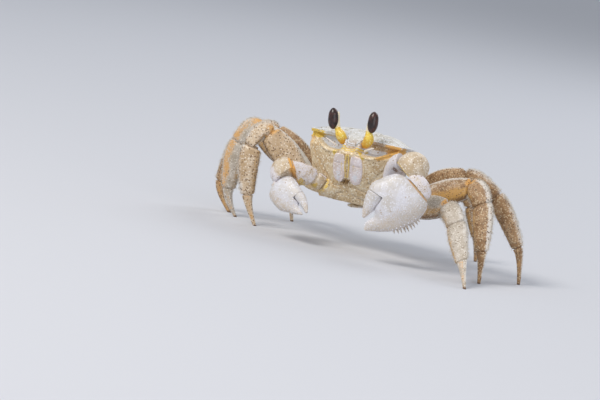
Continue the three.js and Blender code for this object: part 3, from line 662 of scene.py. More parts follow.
def back_relief(x, y):
    """Grooves that part the back into its regions, and the low swellings between them."""
    wide = np.abs(x)
    neck = hump(wide - 5.5 - 0.9 * np.sin((y - 6) / 3), 0, 0.8)
    neck = neck * smoothstep(y, 7, 10) * (1 - smoothstep(y, 22, 25))
    bar = hump(y, 17.5 + 0.05 * wide**2, 0.9) * (1 - smoothstep(wide, 4.5, 6.5))
    swelling = hump(wide, 11.5, 5) * hump(y, 15, 8)
    return 0.35 * swelling - 0.5 * np.maximum(neck, bar)


def arch_depth(wide):
    """The epistome: a low arch over the mouth frame."""
    return 3.2 + 0.085 * wide**2


def face_relief(x, depth):
    """Ridges of the lower orbital rim and the mouth frame, and the suture across the cheek."""
    wide = np.abs(x)
    rim = 0.55 * hump(depth, orbit_bottom(x) + 0.35, 0.45) * smoothstep(wide, 5.2, 6.4)
    arches = 0.3 * (hump(depth, arch_depth(wide), 0.3) + hump(depth, arch_depth(wide) + 1.1, 0.3))
    rim = rim + arches * (1 - smoothstep(wide, 4.8, 5.8))
    frame_ridge = 0.45 * hump(wide, 7.1, 0.45) * smoothstep(depth, 7, 8.5)
    frame_ridge = frame_ridge * (1 - smoothstep(depth, 17.5, 19.5))
    path = 19 - 0.85 * (depth - 5.5)
    suture = 0.4 * hump(wide, path, 0.45) * smoothstep(depth, 6.5, 8) * (1 - smoothstep(depth, 17, 19))
    return rim + frame_ridge - suture - 0.4 * fold_lines(wide, depth)


def fold_lines(wide, depth):
    """Sutures that fan out below the mouth, where the breastplate begins."""
    lines = hump(depth, 19.6 + 0.16 * wide, 0.35) + hump(depth, 22.4 + 0.3 * wide, 0.4)
    return lines * smoothstep(wide, 0.8, 2.5) * (1 - smoothstep(wide, 10, 14))


def build_body():
    """One skin from the breastplate up over the margin to the middle of the back."""
    levels = np.concatenate([np.arange(BODY_DEPTH, 7.6, -0.42), np.arange(7.5, 1.75, -0.18),
                             [1.6, 1.45, 1.34, 1.31, 1.29, 1.15, 0.95, 0.7, 0.45, 0.2]])
    scales = np.concatenate([[1, 0.994, 0.985, 0.972, 0.955], np.arange(0.93, 0.03, -0.035)])
    rings = np.array([body_ring(d) for d in levels] + [dome_ring(s) for s in scales])
    depth = np.concatenate([levels, np.zeros(len(scales))])[:, None] + np.zeros(rings.shape[:2])
    x, y, _ = np.moveaxis(rings, -1, 0)
    top = np.arange(len(rings))[:, None] >= len(levels)
    front = (1 - smoothstep(y, 4, 9)) * ~top * (depth > ORBIT["top"])
    bead = 0.22 * hump(depth, 0.55, 0.45) * ~top
    scales_in = np.concatenate([np.ones(len(levels)), scales])[:, None]
    relief = np.where(top, back_relief(x, y) * (1 - scales_in**6), face_relief(x, depth) * front + bead)
    relief = relief + 0.10 * ripple(rings, 3.0, 3) * (1 - hollow(x, depth))
    rings = rings + skin_normals(rings) * relief[..., None]
    split_body(rings, body_paint(x, y, depth, top, front, ripple(rings, 5, 12)))


def body_paint(x, y, depth, top, front, cloud):
    """The marks of the body: white orbits, yellow arches over the mouth, and orange on its left rim, with
    painted shade in the roof of the left orbit under the brow and along the suture grooves below the mouth.
    """
    wide = np.abs(x)
    left = x > 0
    outer = smoothstep(wide, 10, 13.5)
    lip = ~top * (1 - smoothstep(y, 2.5, 5))
    tooth = smoothstep(wide, 13, 16.5) * (1 - smoothstep(depth, 2.4, 4.0)) * lip
    cheek_edge = smoothstep(wide, 16.5, 18.5) * (1 - smoothstep(depth, 6, 11)) * front
    rim = hump(depth, orbit_bottom(x) + 0.3, np.where(left, 1.25, 0.7)) * outer * front
    arch = hump(depth, arch_depth(wide), 0.28) + 0.9 * hump(depth, arch_depth(wide) + 1.1, 0.24)
    arch = arch * front * (1 - smoothstep(wide, 4.8, 5.8))
    over_arch = hump(depth, arch_depth(wide) - 1.2, 0.22) * front * (1 - smoothstep(wide, 4, 5.5))
    knob = hump(wide, 6.0, 0.9) * hump(depth, 7.4, 0.8) * front
    snout = hump(wide, 0, 3.2) * (1 - smoothstep(depth, 3.2, 4.4)) * (1 - smoothstep(y, -2.5, 0.5))
    roof = smoothstep(wide, 5, 7) * (1 - smoothstep(depth, 3.2, 4.4)) * lip * (1 - snout)
    inside = smoothstep(hollow(x, depth), 0.25, 0.5)
    floor_of_orbit = smoothstep(depth, np.where(left, 3.0, 1.5), np.where(left, 3.8, 2.2))
    middle_of_back = top * hump(wide, 4, 4) * hump(y, 16, 8) * cloud.clip(0, 1)
    stain = np.where(left, 1.25 * rim + 0.85 * roof * outer, 0.2 * rim + 0.45 * cheek_edge)
    # painted shade: the inner roof of the left orbit, under the brow, and the suture grooves below the mouth
    # plates are darkened where shade falls; the snout's dark is its own tone
    dark = 0.46 * snout + 0.75 * roof * left * (1 - outer) + 0.6 * fold_lines(wide, depth) * front
    return {
        "pale": 1.1 * inside * floor_of_orbit + 0.35 * top * (1 - snout),
        "stain": stain + 0.75 * over_arch,
        "yellow": 1.25 * np.maximum(arch, knob) + np.where(left, 0, 1.15 * tooth),
        "dark": dark + 0.5 * middle_of_back,
    }


def split_body(rings, paint):
    """Parts the body's one skin along its seams into back shell, face and breastplate."""
    points, faces = capped(rings)
    quads = np.vstack([faces[0], *(f[:, [0, 1, 2, 2]] for f in faces[1:])])
    _, y, z = points[quads].mean(1).T
    brow = np.interp(y, [-9, -2, 1], [-5.2, -4.1, SEAM["brow"]])
    back = np.where(y > SEAM["face"], z > SEAM["side"], z > brow)
    breast = ~back & ((y > SEAM["face"]) | (z < SEAM["jaw"]))
    plan = (
        ("back_shell", back, BACK_SHELL, "carapace_shell", "carapace"),
        ("face_shell", ~back & ~breast, FACE_SHELL, "body_shell", "face"),
        ("breastplate", breast, FACE_SHELL, "body_shell", "sternum"),
    )
    for name, chosen, finish, slot, node in plan:
        used, index = np.unique(quads[chosen], return_inverse=True)
        index = index.reshape(-1, 4)
        flat = index[:, 2] == index[:, 3]
        shown = {key: with_ends(values)[used] for key, values in paint.items()}
        form = Form()
        form.add(posed(points[used]), [index[~flat], index[flat][:, :3]], **shown)
        if node == "carapace":
            edge_granules(form)
        if node == "sternum":
            hip_stubs(form)
        piece(name, form, finish, [node])


def edge_granules(form):
    """Rows of granules along the brow and the sides of the back."""
    brow = spline(BROW, 40)
    flank = spline(FLANK[:6], 22)
    for side in (1, -1):
        for lift, size in ((-0.1, 0.24), (-0.75, 0.2)):
            granule_row(form, brow, side, lift - rostrum_drop(brow[:, 1]), (0, -1.0, 0.25), size)
        granule_row(form, flank, side, -flank_drop(flank[:, 1]) - 0.1, (side, 0, 0.4), 0.26)


def granule_row(form, edge, side, height, out, size):
    centres = np.stack([edge[:, 0] * side, edge[:, 1], height], -1)
    sizes = size * rng.uniform(0.8, 1.25, len(edge))
    beads(form, posed(centres), np.tile(out, (len(edge), 1)), sizes, pale=0.9)


def hip_stubs(form):
    """The first joint of each limb, one with the breastplate, bent from its root into the limb."""
    stubs = []
    for side in (1, -1):
        for pair, stance in zip(PAIRS, STANCE[side]):
            hip, knee = corners(pair, stance, side)[:2]
            tall, thick = 2.6 * pair["girth"], 2.1 * pair["girth"]
            stubs.append((hip * [HIP_ROOT, 1, 1], hip, unit(knee - hip), tall, thick))
        arm = ARMS[side]
        shoulder = np.array(arm["shoulder"], float)
        direction = unit(np.array(arm["bow"]) - shoulder)
        tall, thick = arm["tall"][0], arm["thick"][0]
        stubs.append((np.array(arm["root"]), shoulder - direction, direction, tall, thick))
    for root, hip, direction, tall, thick in stubs:
        outer = hip + direction * COXA
        t = stations(np.linalg.norm(hip - root) + COXA)
        girth = 1 + 0.05 * np.sin(t * math.pi) - 0.07 * hump(t, 0.72, 0.03)
        rings, _, run = tube(bezier(root, hip, outer, t), (0, 0, 1), tall * girth, thick * girth, crest=0.1)
        form.skin(rings, yellow=0.55 * hump(run, run.max() - 0.5, 0.7))


# ------------------------------------------------------------------ mouth
def build_mouth():
    """The outer mouth plates, each with its palp, and the setae below them."""
    for side in (1, -1):
        form = Form()
        mouth_plate(form, side)
        palp(form, side)
        piece(f"mouth_plate_{SIDE[side]}", form, MOUTH_SHELL, [f"mouthpart_{SIDE[side]}"])
    form = Form()
    count = 70
    x = rng.normal(-0.6, 1.0, count)
    depth = 16.8 + 1.7 * rng.random(count)
    root = np.stack([x, [face_profile(d) + 0.1 for d in depth], -depth], -1)
    sideways = 0.4 * rng.normal(size=count) - 0.12 * x
    way = np.stack([sideways, np.full(count, -0.55), -1.0 - 0.5 * rng.random(count)], -1)
    unwrap = np.stack([0.5 + x / 40, 1 - depth / 30], -1)
    bristles(form, posed(root), way, rng.uniform(0.6, 1.5, count), unwrap, width=0.08, droop=0.4)
    piece("mouth_setae", form, DARK_SETAE)


def mouth_plate(form, side):
    """One plate, with the yellow ridge of its inner edge, a groove beside it and a suture across."""
    t = np.linspace(0, 1, 60)
    depth = PLATE["top"] + PLATE["length"] * t
    end = np.sin(math.pi * np.clip(0.12 + 0.855 * t, 0, 1)) ** 0.4
    rounded = np.clip(np.minimum(t, 1 - t) / 0.06, 0.05, 1) ** 0.5
    half = (PLATE["half_width"] * (0.86 + 0.14 * t) * end * rounded)[:, None]
    angle = around(44)
    x = half * np.cos(angle)
    inner = x / half
    outside = np.sin(angle) > 0
    suture = hump(t, 0.36, 0.02)[:, None]
    thick = PLATE["thick"] * (rounded[:, None] - 0.35 * suture) * (1 + 0.12 * np.sin(t * 9)[:, None])
    groove = 0.35 * hump(inner, -0.25, 0.16) * outside
    ridge = 0.4 * hump(inner, -0.72, 0.16) * outside
    out = thick * np.sin(angle) + (ridge - groove) * rounded[:, None]
    middle = PLATE["half_width"] + PLATE["apart"]
    y = np.array([face_profile(d) for d in depth])[:, None] + 0.55 - out
    rings = np.stack([side * (middle + x), y, -depth[:, None] + 0 * x], -1)
    form.skin(posed(rings), yellow=1.2 * (1 - smoothstep(inner, -0.97, -0.78)),
              pale=0.75 * hump(t, 0.75, 0.2)[:, None] * hump(inner, 0.1, 0.5),
              stain=0.55 * (1 - smoothstep(t, 0, 0.1))[:, None])


def palp(form, side):
    """The feeler that lies along the inner edge of a mouth plate."""
    depth = np.linspace(7.2, 16.5, 40)
    t = np.linspace(0, 1, 40)
    x = side * (0.42 + 0.5 * np.sin(t * math.pi) ** 2)
    y = np.array([face_profile(d) for d in depth]) - 0.55
    radius = 0.29 - 0.14 * t + 0.04 * np.cos(t * 19)
    centres = posed(np.stack([x, y, -depth], -1))
    form.skin(tube(centres, (1, 0, 0), radius, radius, crest=0, count=12, rounding=0.3)[0], yellow=1.3)


def build_feelers():
    """The two short antennae below the eyes."""
    for side in (1, -1):
        t = np.linspace(0, 1, 26)
        centres = bezier((side * 6.4, -5.0, -4.6), (side * 8.2, -6.6, -3.2), (side * 10.6, -6.4, -2.4), t)
        radius = lerp(0.6, 0.22, t) * (1 - 0.12 * (np.sin(t * 40) > 0.4))
        rings = tube(posed(centres), (0, 0, 1), radius, radius, crest=0, count=14, rounding=0.3)[0]
        form = Form()
        form.skin(rings, pale=0.5, yellow=0.35)
        piece(f"feeler_{SIDE[side]}", form, MOUTH_SHELL, [f"antenna_{SIDE[side]}"])


def build_abdomen():
    """The narrow tail, folded forward under the breastplate, with a groove at each segment."""
    path = spline([(28.7, -17.4), (27.2, -22.4), (24.8, -27.15), (19.5, -27.8), (8.5, -27.75)], 16)
    centres = np.stack([np.zeros(len(path)), path[:, 0], path[:, 1]], -1)
    t = np.linspace(0, 1, len(path))
    width = np.interp(t, np.linspace(0, 1, 5), [6.6, 6.2, 5.2, 3.8, 1.6])
    groove = 1 - 0.28 * sum(hump(t, at, 0.012) for at in (0.14, 0.3, 0.46, 0.62, 0.8))
    form = Form()
    form.skin(tube(posed(centres), (1, 0, 0), width, 0.75 * groove, crest=0, rounding=0.6)[0], pale=0.4)
    piece("abdomen_plate", form, FACE_SHELL, ["abdomen"])


# ------------------------------------------------------------------ eyes
def build_eyes():
    for side, eye in EYES.items():
        axis = unit(eye["axis"])
        first = unit(np.cross([0, 1.0, 0], axis))
        turn = np.stack([first, np.cross(axis, first), axis], -1)
        shape = ball(40, 48)
        local = shape * [CORNEA["across"], CORNEA["across"], CORNEA["up"]]
        local[..., :2] *= 1 - 0.05 * hump(shape[..., 2:], 0.15, 0.35)
        form = Form()
        form.skin(local @ turn.T + np.array(eye["cornea"]))
        piece(f"cornea_{SIDE[side]}", form, CORNEA_GLAZE, [f"eye_{SIDE[side]}"])
        build_stalk(side, eye, axis)


def build_stalk(side, eye, axis):
    """The stalk: a swollen yellow bulb, a neck, and a cream strip up the inner side of the cornea."""
    inner = np.array(eye["cornea"]) + [-side * 1.5, 0.9, 0]
    line = spline([eye["root"], eye["bulb"], inner - axis * 3.2, inner + axis * 3.0], 20)
    t = np.linspace(0, 1, len(line))
    foot, bulb, neck, top = 1.5, 2.1, 1.3, 0.85
    strip = lerp(neck, top, smoothstep(t, 0.6, 1))
    radius = np.where(t < 0.33, lerp(foot, bulb, np.sin(np.clip(t / 0.33, 0, 1) * math.pi / 2)),
                      lerp(bulb, strip, smoothstep(t, 0.33, 0.62)))
    radius = radius * (1 - 0.05 * hump(t, 0.12, 0.03))
    rings, _, run = tube(line, (0, -1, 0), radius, radius, crest=0)
    far = run / run.max()
    form = Form()
    form.skin(rings, pale=1.2 * smoothstep(far, 0.45, 0.62), stain=0.85 * (1 - smoothstep(far, 0.05, 0.28)))
    piece(f"stalk_{SIDE[side]}", form, STALK_SHELL, [f"eyestalk_{SIDE[side]}"])


# ------------------------------------------------------------------ legs
def heading(forward, elevation, side):
    """A direction outward from one side of the crab, turned forward and raised, in degrees."""
    f, e = math.radians(forward), math.radians(elevation)
    return np.array([side * math.cos(f) * math.cos(e), -math.sin(f) * math.cos(e), math.sin(e)])


def corners(pair, stance, side):
    """Hip, knee, bend, ankle and toe. The thigh is raised so that the toe reaches the floor."""
    thigh_forward, foot_forward, shin, bend_a, bend_b = stance
    below = [shin, shin + bend_a, shin + bend_a + bend_b]
    reach = pair["reach"]
    drop = sum(r * math.sin(math.radians(angle)) for r, angle in zip(reach[1:], below))
    hip = np.array([side * pair["hip"][0], pair["hip"][1], pair["hip"][2] + side * pair["lean"]])
    raised = math.degrees(math.asin((drop - hip[2]) / reach[0]))
    points = [hip, hip + heading(thigh_forward, raised, side) * reach[0]]
    for angle, length in zip(below, reach[1:]):
        points.append(points[-1] + heading(foot_forward, -angle, side) * length)
    return points


# Half height and half thickness along each piece of a leg.
SEGMENTS = {
    "merus": (swell(2.8, 5.9, 4.3, 0.6), swell(1.9, 2.6, 2.1)),
    "carpus": (swell(3.5, 4.3, 4.1), swell(2.0, 2.5, 2.1)),
    "propodus": (swell(4.0, 4.4, 2.8, 0.35), swell(1.9, 2.2, 1.4)),
}
LEG_FINISH = {
    (1, 1): SAND_SHELL, (1, 2): GOLD_SHELL, (1, 3): GOLD_SHELL, (1, 4): GOLD_SHELL,
    (-1, 1): CREAM_SHELL, (-1, 2): SAND_SHELL, (-1, 3): GOLD_SHELL, (-1, 4): CREAM_SHELL,
}
# How white the crest is, how orange the knee, how ochre the lower side, how golden the lower leg.
LEG_MARKS = {
    (1, 1): (0.2, 0.8, 0.55, 0), (1, 2): (1.0, 1.0, 1.0, 0),
    (-1, 1): (0.3, 0.7, 0.4, 0), (-1, 2): (0.7, 0.5, 0.6, 0.5),
}
REAR_LEG_MARKS = (0.1, 0.3, 0.3, 0)


def leg_lines(side, pair, stance):
    """The centre line of each segment as a function, and the ways up at its start and along its toe."""
    hip, knee, bend, ankle, toe = corners(pair, stance, side)
    thigh = unit(knee - hip)
    up = np.cross(thigh, unit(np.cross(thigh, bend - knee)))
    short = knee - thigh * KNEE
    wrist = lerp(knee, bend, WRIST_AT)
    foot = lerp(bend, ankle, ANKLE_AT)
    lines = {
        "merus": lambda t: straight(hip + thigh * (COXA + GAP), short, t),
        "carpus": lambda t: bezier(short, knee, wrist, t),
        "propodus": lambda t: bezier(wrist, bend, foot, t),
        "dactyl": lambda t: bezier(foot, ankle, toe, t),
    }
    return lines, up, unit(toe - ankle)


def segment_rings(segment, line, up, girth, slide):
    """The skin of one segment of a leg. The tip of a toe is cut level with the floor."""
    length = np.linalg.norm(np.diff(line(np.linspace(0, 1, 30)), axis=0), axis=1).sum()
    lead = 0 if segment == "merus" else GAP / 2 / length
    if segment != "dactyl":
        t = lerp(lead, 1 - GAP / 2 / length, stations(length))
        tall, thick = (size(t) * girth for size in SEGMENTS[segment])
        return line(t), tube(line(t), up, tall, thick, ridges=0.02)
    t = lerp(lead, 1, np.linspace(0, 1, 34))
    tall, thick = (lerp(start, FOOT_TIP, t**0.8) * lerp(girth, 1, t) for start in (2.5, 1.35))
    rings, rise, run = tube(line(t), up, tall, thick, ridges=0.07, rounding=0, crest=0.2)
    rings[-1] -= slide * (rings[-1][:, 2:] / slide[2])
    rings[..., 2] = np.maximum(rings[..., 2], 0)
    return line(t), (rings, rise, run)


def build_leg(side, number, pair, stance, setae):
    """The four free pieces of a walking leg. Its setae go into the form of its side."""
    lines, up, slide = leg_lines(side, pair, stance)
    girth = pair["girth"]
    for order, (segment, line) in enumerate(lines.items()):
        up = carried(line(np.linspace(0, 1, 40)), up)[1][0]
        centres, (rings, rise, run) = segment_rings(segment, line, up, girth, slide)
        form = Form()
        form.skin(rings, **leg_paint(segment, rise, run, side, number))
        if segment != "dactyl":
            edge_detail(form, rings, girth)
            size = [half(1.0) * girth * 0.62 for half in SEGMENTS[segment]]
            tint = {"stain": 1.0} if segment == "merus" and number < 3 else {"dark": 0.45}
            end_cuff(form, centres, up, size, **tint)
        if segment in ("carpus", "propodus"):
            leg_fringe(setae, rings, number * 4 + order)
        name = f"leg_{SIDE[side]}_{number}_{segment}"
        piece(f"{name}_shell", form, LEG_FINISH[side, number], [name])
        up = carried(centres, up)[1][-1]


def leg_paint(segment, rise, run, side, number):
    """Pale crest, ochre lower side, dark toe, and painted shade along the underside. The upper leg of the
    second pair is whitest.
    """
    whiteness, knee, ochre, golden = LEG_MARKS.get((side, number), REAR_LEG_MARKS)
    share = run / run.max()
    if segment == "merus":
        crest = smoothstep(rise, 0.7, 0.95) + 0.5 * smoothstep(rise, -0.3, 0.4) * (1 - 0.5 * share)
        return {
            "pale": whiteness * crest,
            "stain": knee * hump(run.max() - run, 0.4, 1.3) * smoothstep(rise, -0.4, 0.5),
            "yellow": ochre * smoothstep(share, 0.15, 0.6) * (1 - smoothstep(rise, -0.6, 0.3)),
            # painted shade: the underside of the merus is darkened where shade falls
            "dark": 0.7 * (1 - smoothstep(rise, -1.0, -0.65)),
        }
    if segment == "dactyl":
        edge = np.abs(rise)
        return {
            "pale": 0.7 * smoothstep(edge, 0.7, 0.98) * (1 - smoothstep(share, 0.7, 0.9)),
            "stain": 0.35 * (1 - smoothstep(edge, 0.3, 0.8)),
            "dark": 1.1 * smoothstep(share, 0.93, 0.99),
        }
    start = (segment == "carpus") * knee * hump(run, 0.4, 1.4) * smoothstep(rise, -0.2, 0.6)
    return {
        "pale": smoothstep(rise, 0.45, 0.9) * (0.4 + 0.5 * whiteness),
        "stain": start + golden * smoothstep(rise, -0.4, 0.5),
        "yellow": 0.5 * (1 - smoothstep(rise, -0.8, -0.2)),
        # painted shade: the underside of the carpus and propodus is darkened where shade falls
        "dark": 0.55 * (1 - smoothstep(rise, -1.0, -0.85)),
    }


def leg_fringe(form, rings, strip):
    """Rows of pale setae along the upper and lower margins of the lower leg."""
    rows, count, _ = rings.shape
    normals = skin_normals(rings)
    for middle, total in ((0, 240), (count // 2, 90)):
        i = rng.integers(2, rows - 2, total)
        j = (middle + rng.integers(-2, 3, total)) % count
        along = unit(rings[np.minimum(i + 1, rows - 1), j] - rings[i, j])
        way = normals[i, j] + 0.55 * along + 0.25 * rng.normal(size=(total, 3))
        unwrap = np.stack([(strip % 20 + j / count) / 20, i / rows * 0.98], -1)
        bristles(form, rings[i, j], way, rng.uniform(0.5, 1.25, total), unwrap, width=0.065, droop=0.2)


def edge_detail(form, rings, girth):
    """Granules along the crest and the lower edge of a piece, and loose ones over its sides."""
    rows, count, _ = rings.shape
    row = np.arange(2, rows - 2)
    edges = ((0, 0.24), (1, 0.2), (count - 1, 0.2), (count // 2, 0.2))
    sizes = [size * girth * rng.uniform(0.7, 1.3, len(row)) for _, size in edges]
    loose = rows * 8
    i, j = scattered(rings, loose, 1, 1)
    sizes.append(rng.uniform(0.08, 0.17, loose) * girth)
    pale = [np.full(len(edges) * len(row), 0.75), rng.choice([0.0, 0.4], loose, p=[0.6, 0.4])]
    i = np.concatenate([np.tile(row, len(edges)), i])
    j = np.concatenate([np.repeat([column for column, _ in edges], len(row)), j])
    beads(form, rings[i, j], skin_normals(rings)[i, j], np.concatenate(sizes), pale=np.concatenate(pale))


def end_cuff(form, centres, up, size, **paint):
    """A cuff at the far end of a piece."""
    direction = unit(centres[-1] - centres[-2])
    cuff(form, centres[-1] - direction * 0.6, centres[-1] + direction, up, size, **paint)


# ------------------------------------------------------------------ claws
PALM_GRANULES = {1: 1500, -1: 650}
WRIST_GRANULES = 420
ARM_GRANULES = 500
FINGER_GRANULES = 150
SLOT = {"room": 0.08, "thick": 6.0}  # round the movable finger, cut through the palm
CUFF = 0.7  # half length of the soft cuff in a joint of the claw
HEEL = {"size": (6.4, 3.0, 4.0), "back": 1.0, "in": 0.6}


def edge_at(edge, x):
    curve = spline(edge, 30)
    return np.interp(x, curve[:, 0], curve[:, 1])


def hand_frame(arm):
    """Directions of a hand: along it, up it, and out of its broad face."""
    wrist = np.array(arm["wrist"], float)
    u = unit(np.array(arm["tip"]) - wrist)
    w = unit(np.array(arm["face"]) - u * (np.array(arm["face"]) @ u))
    v = np.cross(w, u)
    if v[0] * -np.sign(wrist[0]) < 0:
        v = -v
    return wrist, u, v, w


def in_hand(arm, x, y, out):
    wrist, u, v, w = hand_frame(arm)
    x, y, out = np.broadcast_arrays(x, y, out)
    return wrist + x[..., None] * u + y[..., None] * v + out[..., None] * w


def palm_rings(arm):
    """The skin of a palm, how far along it each ring is, and how near the upper edge each column."""
    hand = arm["hand"]
    share = np.concatenate([[0, 0.004, 0.012], np.linspace(0.025, 0.975, 110), [0.988, 0.996, 1]])
    x = hand["length"] * share
    upper, lower, thick = (edge_at(hand[key], x)[:, None] for key in ("upper", "lower", "thick"))
    angle = around(64)
    rounding = 1 - 0.14 * np.clip(1 - x, 0, 1)[:, None] ** 2
    y = (upper + lower) / 2 + (upper - lower) / 2 * np.cos(angle) * rounding
    broad = np.sign(np.sin(angle)) * np.abs(np.sin(angle)) ** 0.92
    return in_hand(arm, x[:, None], y, thick * broad * rounding), x, np.cos(angle)


def finger_line(arm):
    return [in_hand(arm, x, y, 0.0) for x, y in arm["hand"]["finger"]]


def finger_height(arm, t, room):
    """Half the height of the movable finger, from its root to its tip, with some room."""
    return lerp(arm["hand"]["tall"], CLAW_TIP, t**1.5) + room


def finger_rings(arm, room=0.0, thick=None):
    """The movable finger. With room and a thickness of its own, it is the slot that the finger needs."""
    a, b, c = finger_line(arm)
    a = a - unit(b - a) * room
    c = c + unit(c - b) * room
    t = np.linspace(0, 1, 60)
    if thick is None:
        thick = np.maximum(lerp(1.5 * arm["hand"]["wide"], CLAW_TIP, t**0.85), CLAW_TIP)
    v = hand_frame(arm)[2]
    tall = finger_height(arm, t, room)
    return tube(bezier(a, b, c, t), v, tall, thick, crest=0.15, rounding=0 if room else 0.35)


def finger_clearance(arm, points):
    """Distance in millimetres from each point to the slot round the movable finger."""
    _, u, v, _ = hand_frame(arm)
    t = np.linspace(0, 1, 40)
    seen, line = (np.stack([p @ u, p @ v], -1) for p in (points, bezier(*finger_line(arm), t)))
    gap = np.linalg.norm(seen[:, None] - line[None], axis=-1)
    return (gap - finger_height(arm, t, GAP)).min(1)


def carve(target, form):
    """Cuts the form out of a piece."""
    cutter = piece("cutter", form, CLAW_SHELL)
    cut = target.modifiers.new("slot", "BOOLEAN")
    cut.operation = "DIFFERENCE"
    cut.solver = "EXACT"
    cut.object = cutter
    bpy.context.view_layer.update()
    done = bpy.data.meshes.new_from_object(target.evaluated_get(bpy.context.evaluated_depsgraph_get()))
    target.modifiers.clear()
    target.data = done
    bpy.data.objects.remove(cutter)


def paint_mesh(target, **paint):
    """Sets painted values on a mesh from its points, given in millimetres in the crab's own place."""
    points = np.empty(len(target.data.vertices) * 3)
    target.data.vertices.foreach_get("co", points)
    points = points.reshape(-1, 3) / MM - SHIFT
    for key, rule in paint.items():
        layer = target.data.attributes.get(key) or target.data.attributes.new(key, "FLOAT", "POINT")
        layer.data.foreach_set("value", rule(points).astype(np.float32))


def build_hand(side, arm):
    """The palm with its fixed finger, the movable finger, and the granules and spines on them."""
    name = f"claw_{SIDE[side]}"
    rings, x, rise = palm_rings(arm)
    form = Form()
    form.skin(rings)
    palm = piece(f"{name}_palm_shell", form, CLAW_SHELL, [f"{name}_palm"])
    slot = Form()
    slot.skin(finger_rings(arm, SLOT["room"], SLOT["thick"])[0])
    carve(palm, slot)
    palm.data.set_sharp_from_angle(angle=HARD_EDGE)
    wrist, u, v, _ = hand_frame(arm)
    length = arm["hand"]["length"]

    def lower_side(points):
        down = -((points - wrist) @ v)
        far = (points - wrist) @ u / length
        return 0.6 * smoothstep(down + 5 * far, 0, 9) + 0.25 * smoothstep(far, 0.5, 1)

    def wrist_edge(points):
        return 0.9 * hump((points - wrist) @ u, 0.25, 0.4) * (side > 0)

    paint_mesh(palm, stain=lower_side, yellow=wrist_edge)
    palm_granules(side, arm, rings, x, rise)
    form = Form()
    rings, _, run = finger_rings(arm)
    form.skin(rings, stain=0.3 + 0.35 * smoothstep(run / run.max(), 0.3, 1))
    finger_teeth(form, rings)
    piece(f"{name}_finger_shell", form, CLAW_SHELL, [f"{name}_finger"])


def palm_granules(side, arm, rings, x, rise):
    """Granules over both faces of the palm, beaded edges and, on the large claw, a comb of spines."""
    form = Form()
    normals = skin_normals(rings)
    rows, count, _ = rings.shape
    large = side > 0
    upper, lower = 0, count // 2
    i, j = scattered(rings, PALM_GRANULES[side], 3, 4)
    clear = finger_clearance(arm, rings[i, j]) > 0.35
    i, j = i[clear], j[clear]
    size = rng.uniform(0.1, 0.2, len(i)) * (1 + 0.3 * (rise[j] < -0.3))
    beads(form, rings[i, j], normals[i, j], size, pale=0.25, stain=0.3 * (rise[j] < -0.2))
    for edge in (upper, lower):
        i = np.arange(4, rows - 10, 2)
        i = i[finger_clearance(arm, rings[i, edge]) > 0.4]
        size = rng.uniform(0.2, 0.34, len(i)) * (1 if large else 0.8)
        beads(form, rings[i, edge], normals[i, edge], size, pale=0.6)

    def spine_row(places, edge, lengths, width, **paint):
        i = np.array([np.abs(x - at).argmin() for at in places])
        spikes(form, rings[i, edge], normals[i, edge], lengths, width, **paint)

    if large:
        comb = np.arange(7.5, 18.4, 1.25)
        lengths = 2.7 * np.sin(np.linspace(0.6, 2.6, len(comb)))
        spine_row(comb, lower, lengths, 0.62, stain=0.6, dark=0.4)
        spine_row(np.arange(8, 18, 1.6), lower - 4, 0.7, 0.34, pale=1.1)
    length = arm["hand"]["length"]
    spine_row(np.arange(length * 0.8, length - 0.8, 0.8), upper, 0.55, 0.36, pale=1.1)
    piece(f"claw_{SIDE[side]}_granules", form, CLAW_SHELL)


def finger_teeth(form, rings):
    """Low teeth along the cutting edge of the movable finger, and granules over it."""
    rows, count, _ = rings.shape
    normals = skin_normals(rings)
    i = np.arange(rows // 3, rows - 4, 3)
    spikes(form, rings[i, count // 2], normals[i, count // 2], 0.4, 0.3, pale=1.0)
    i, j = scattered(rings, FINGER_GRANULES, 2, 3)
    beads(form, rings[i, j], normals[i, j], rng.uniform(0.1, 0.2, FINGER_GRANULES), pale=0.9)


def trim(made, point, beyond):
    """Cuts off what lies beyond a plane and closes the piece with a flat face."""
    shape = bmesh.new()
    shape.from_mesh(made.data)
    cut = bmesh.ops.bisect_plane(shape, geom=[*shape.verts, *shape.edges, *shape.faces],
                                 plane_co=(np.array(point) + SHIFT) * MM, plane_no=beyond, clear_outer=True)
    rim = [edge for edge in cut["geom_cut"] if isinstance(edge, bmesh.types.BMEdge)]
    bmesh.ops.edgeloop_fill(shape, edges=rim)
    shape.to_mesh(made.data)
    shape.free()
    made.data.set_sharp_from_angle(angle=HARD_EDGE)


def lobe(middle, size, directions):
    """The skin of an egg shape with the given half sizes along three directions."""
    shape = ball(60, 72) * size
    first, second, third = directions
    return middle + shape[..., :1] * first + shape[..., 1:2] * second + shape[..., 2:] * third


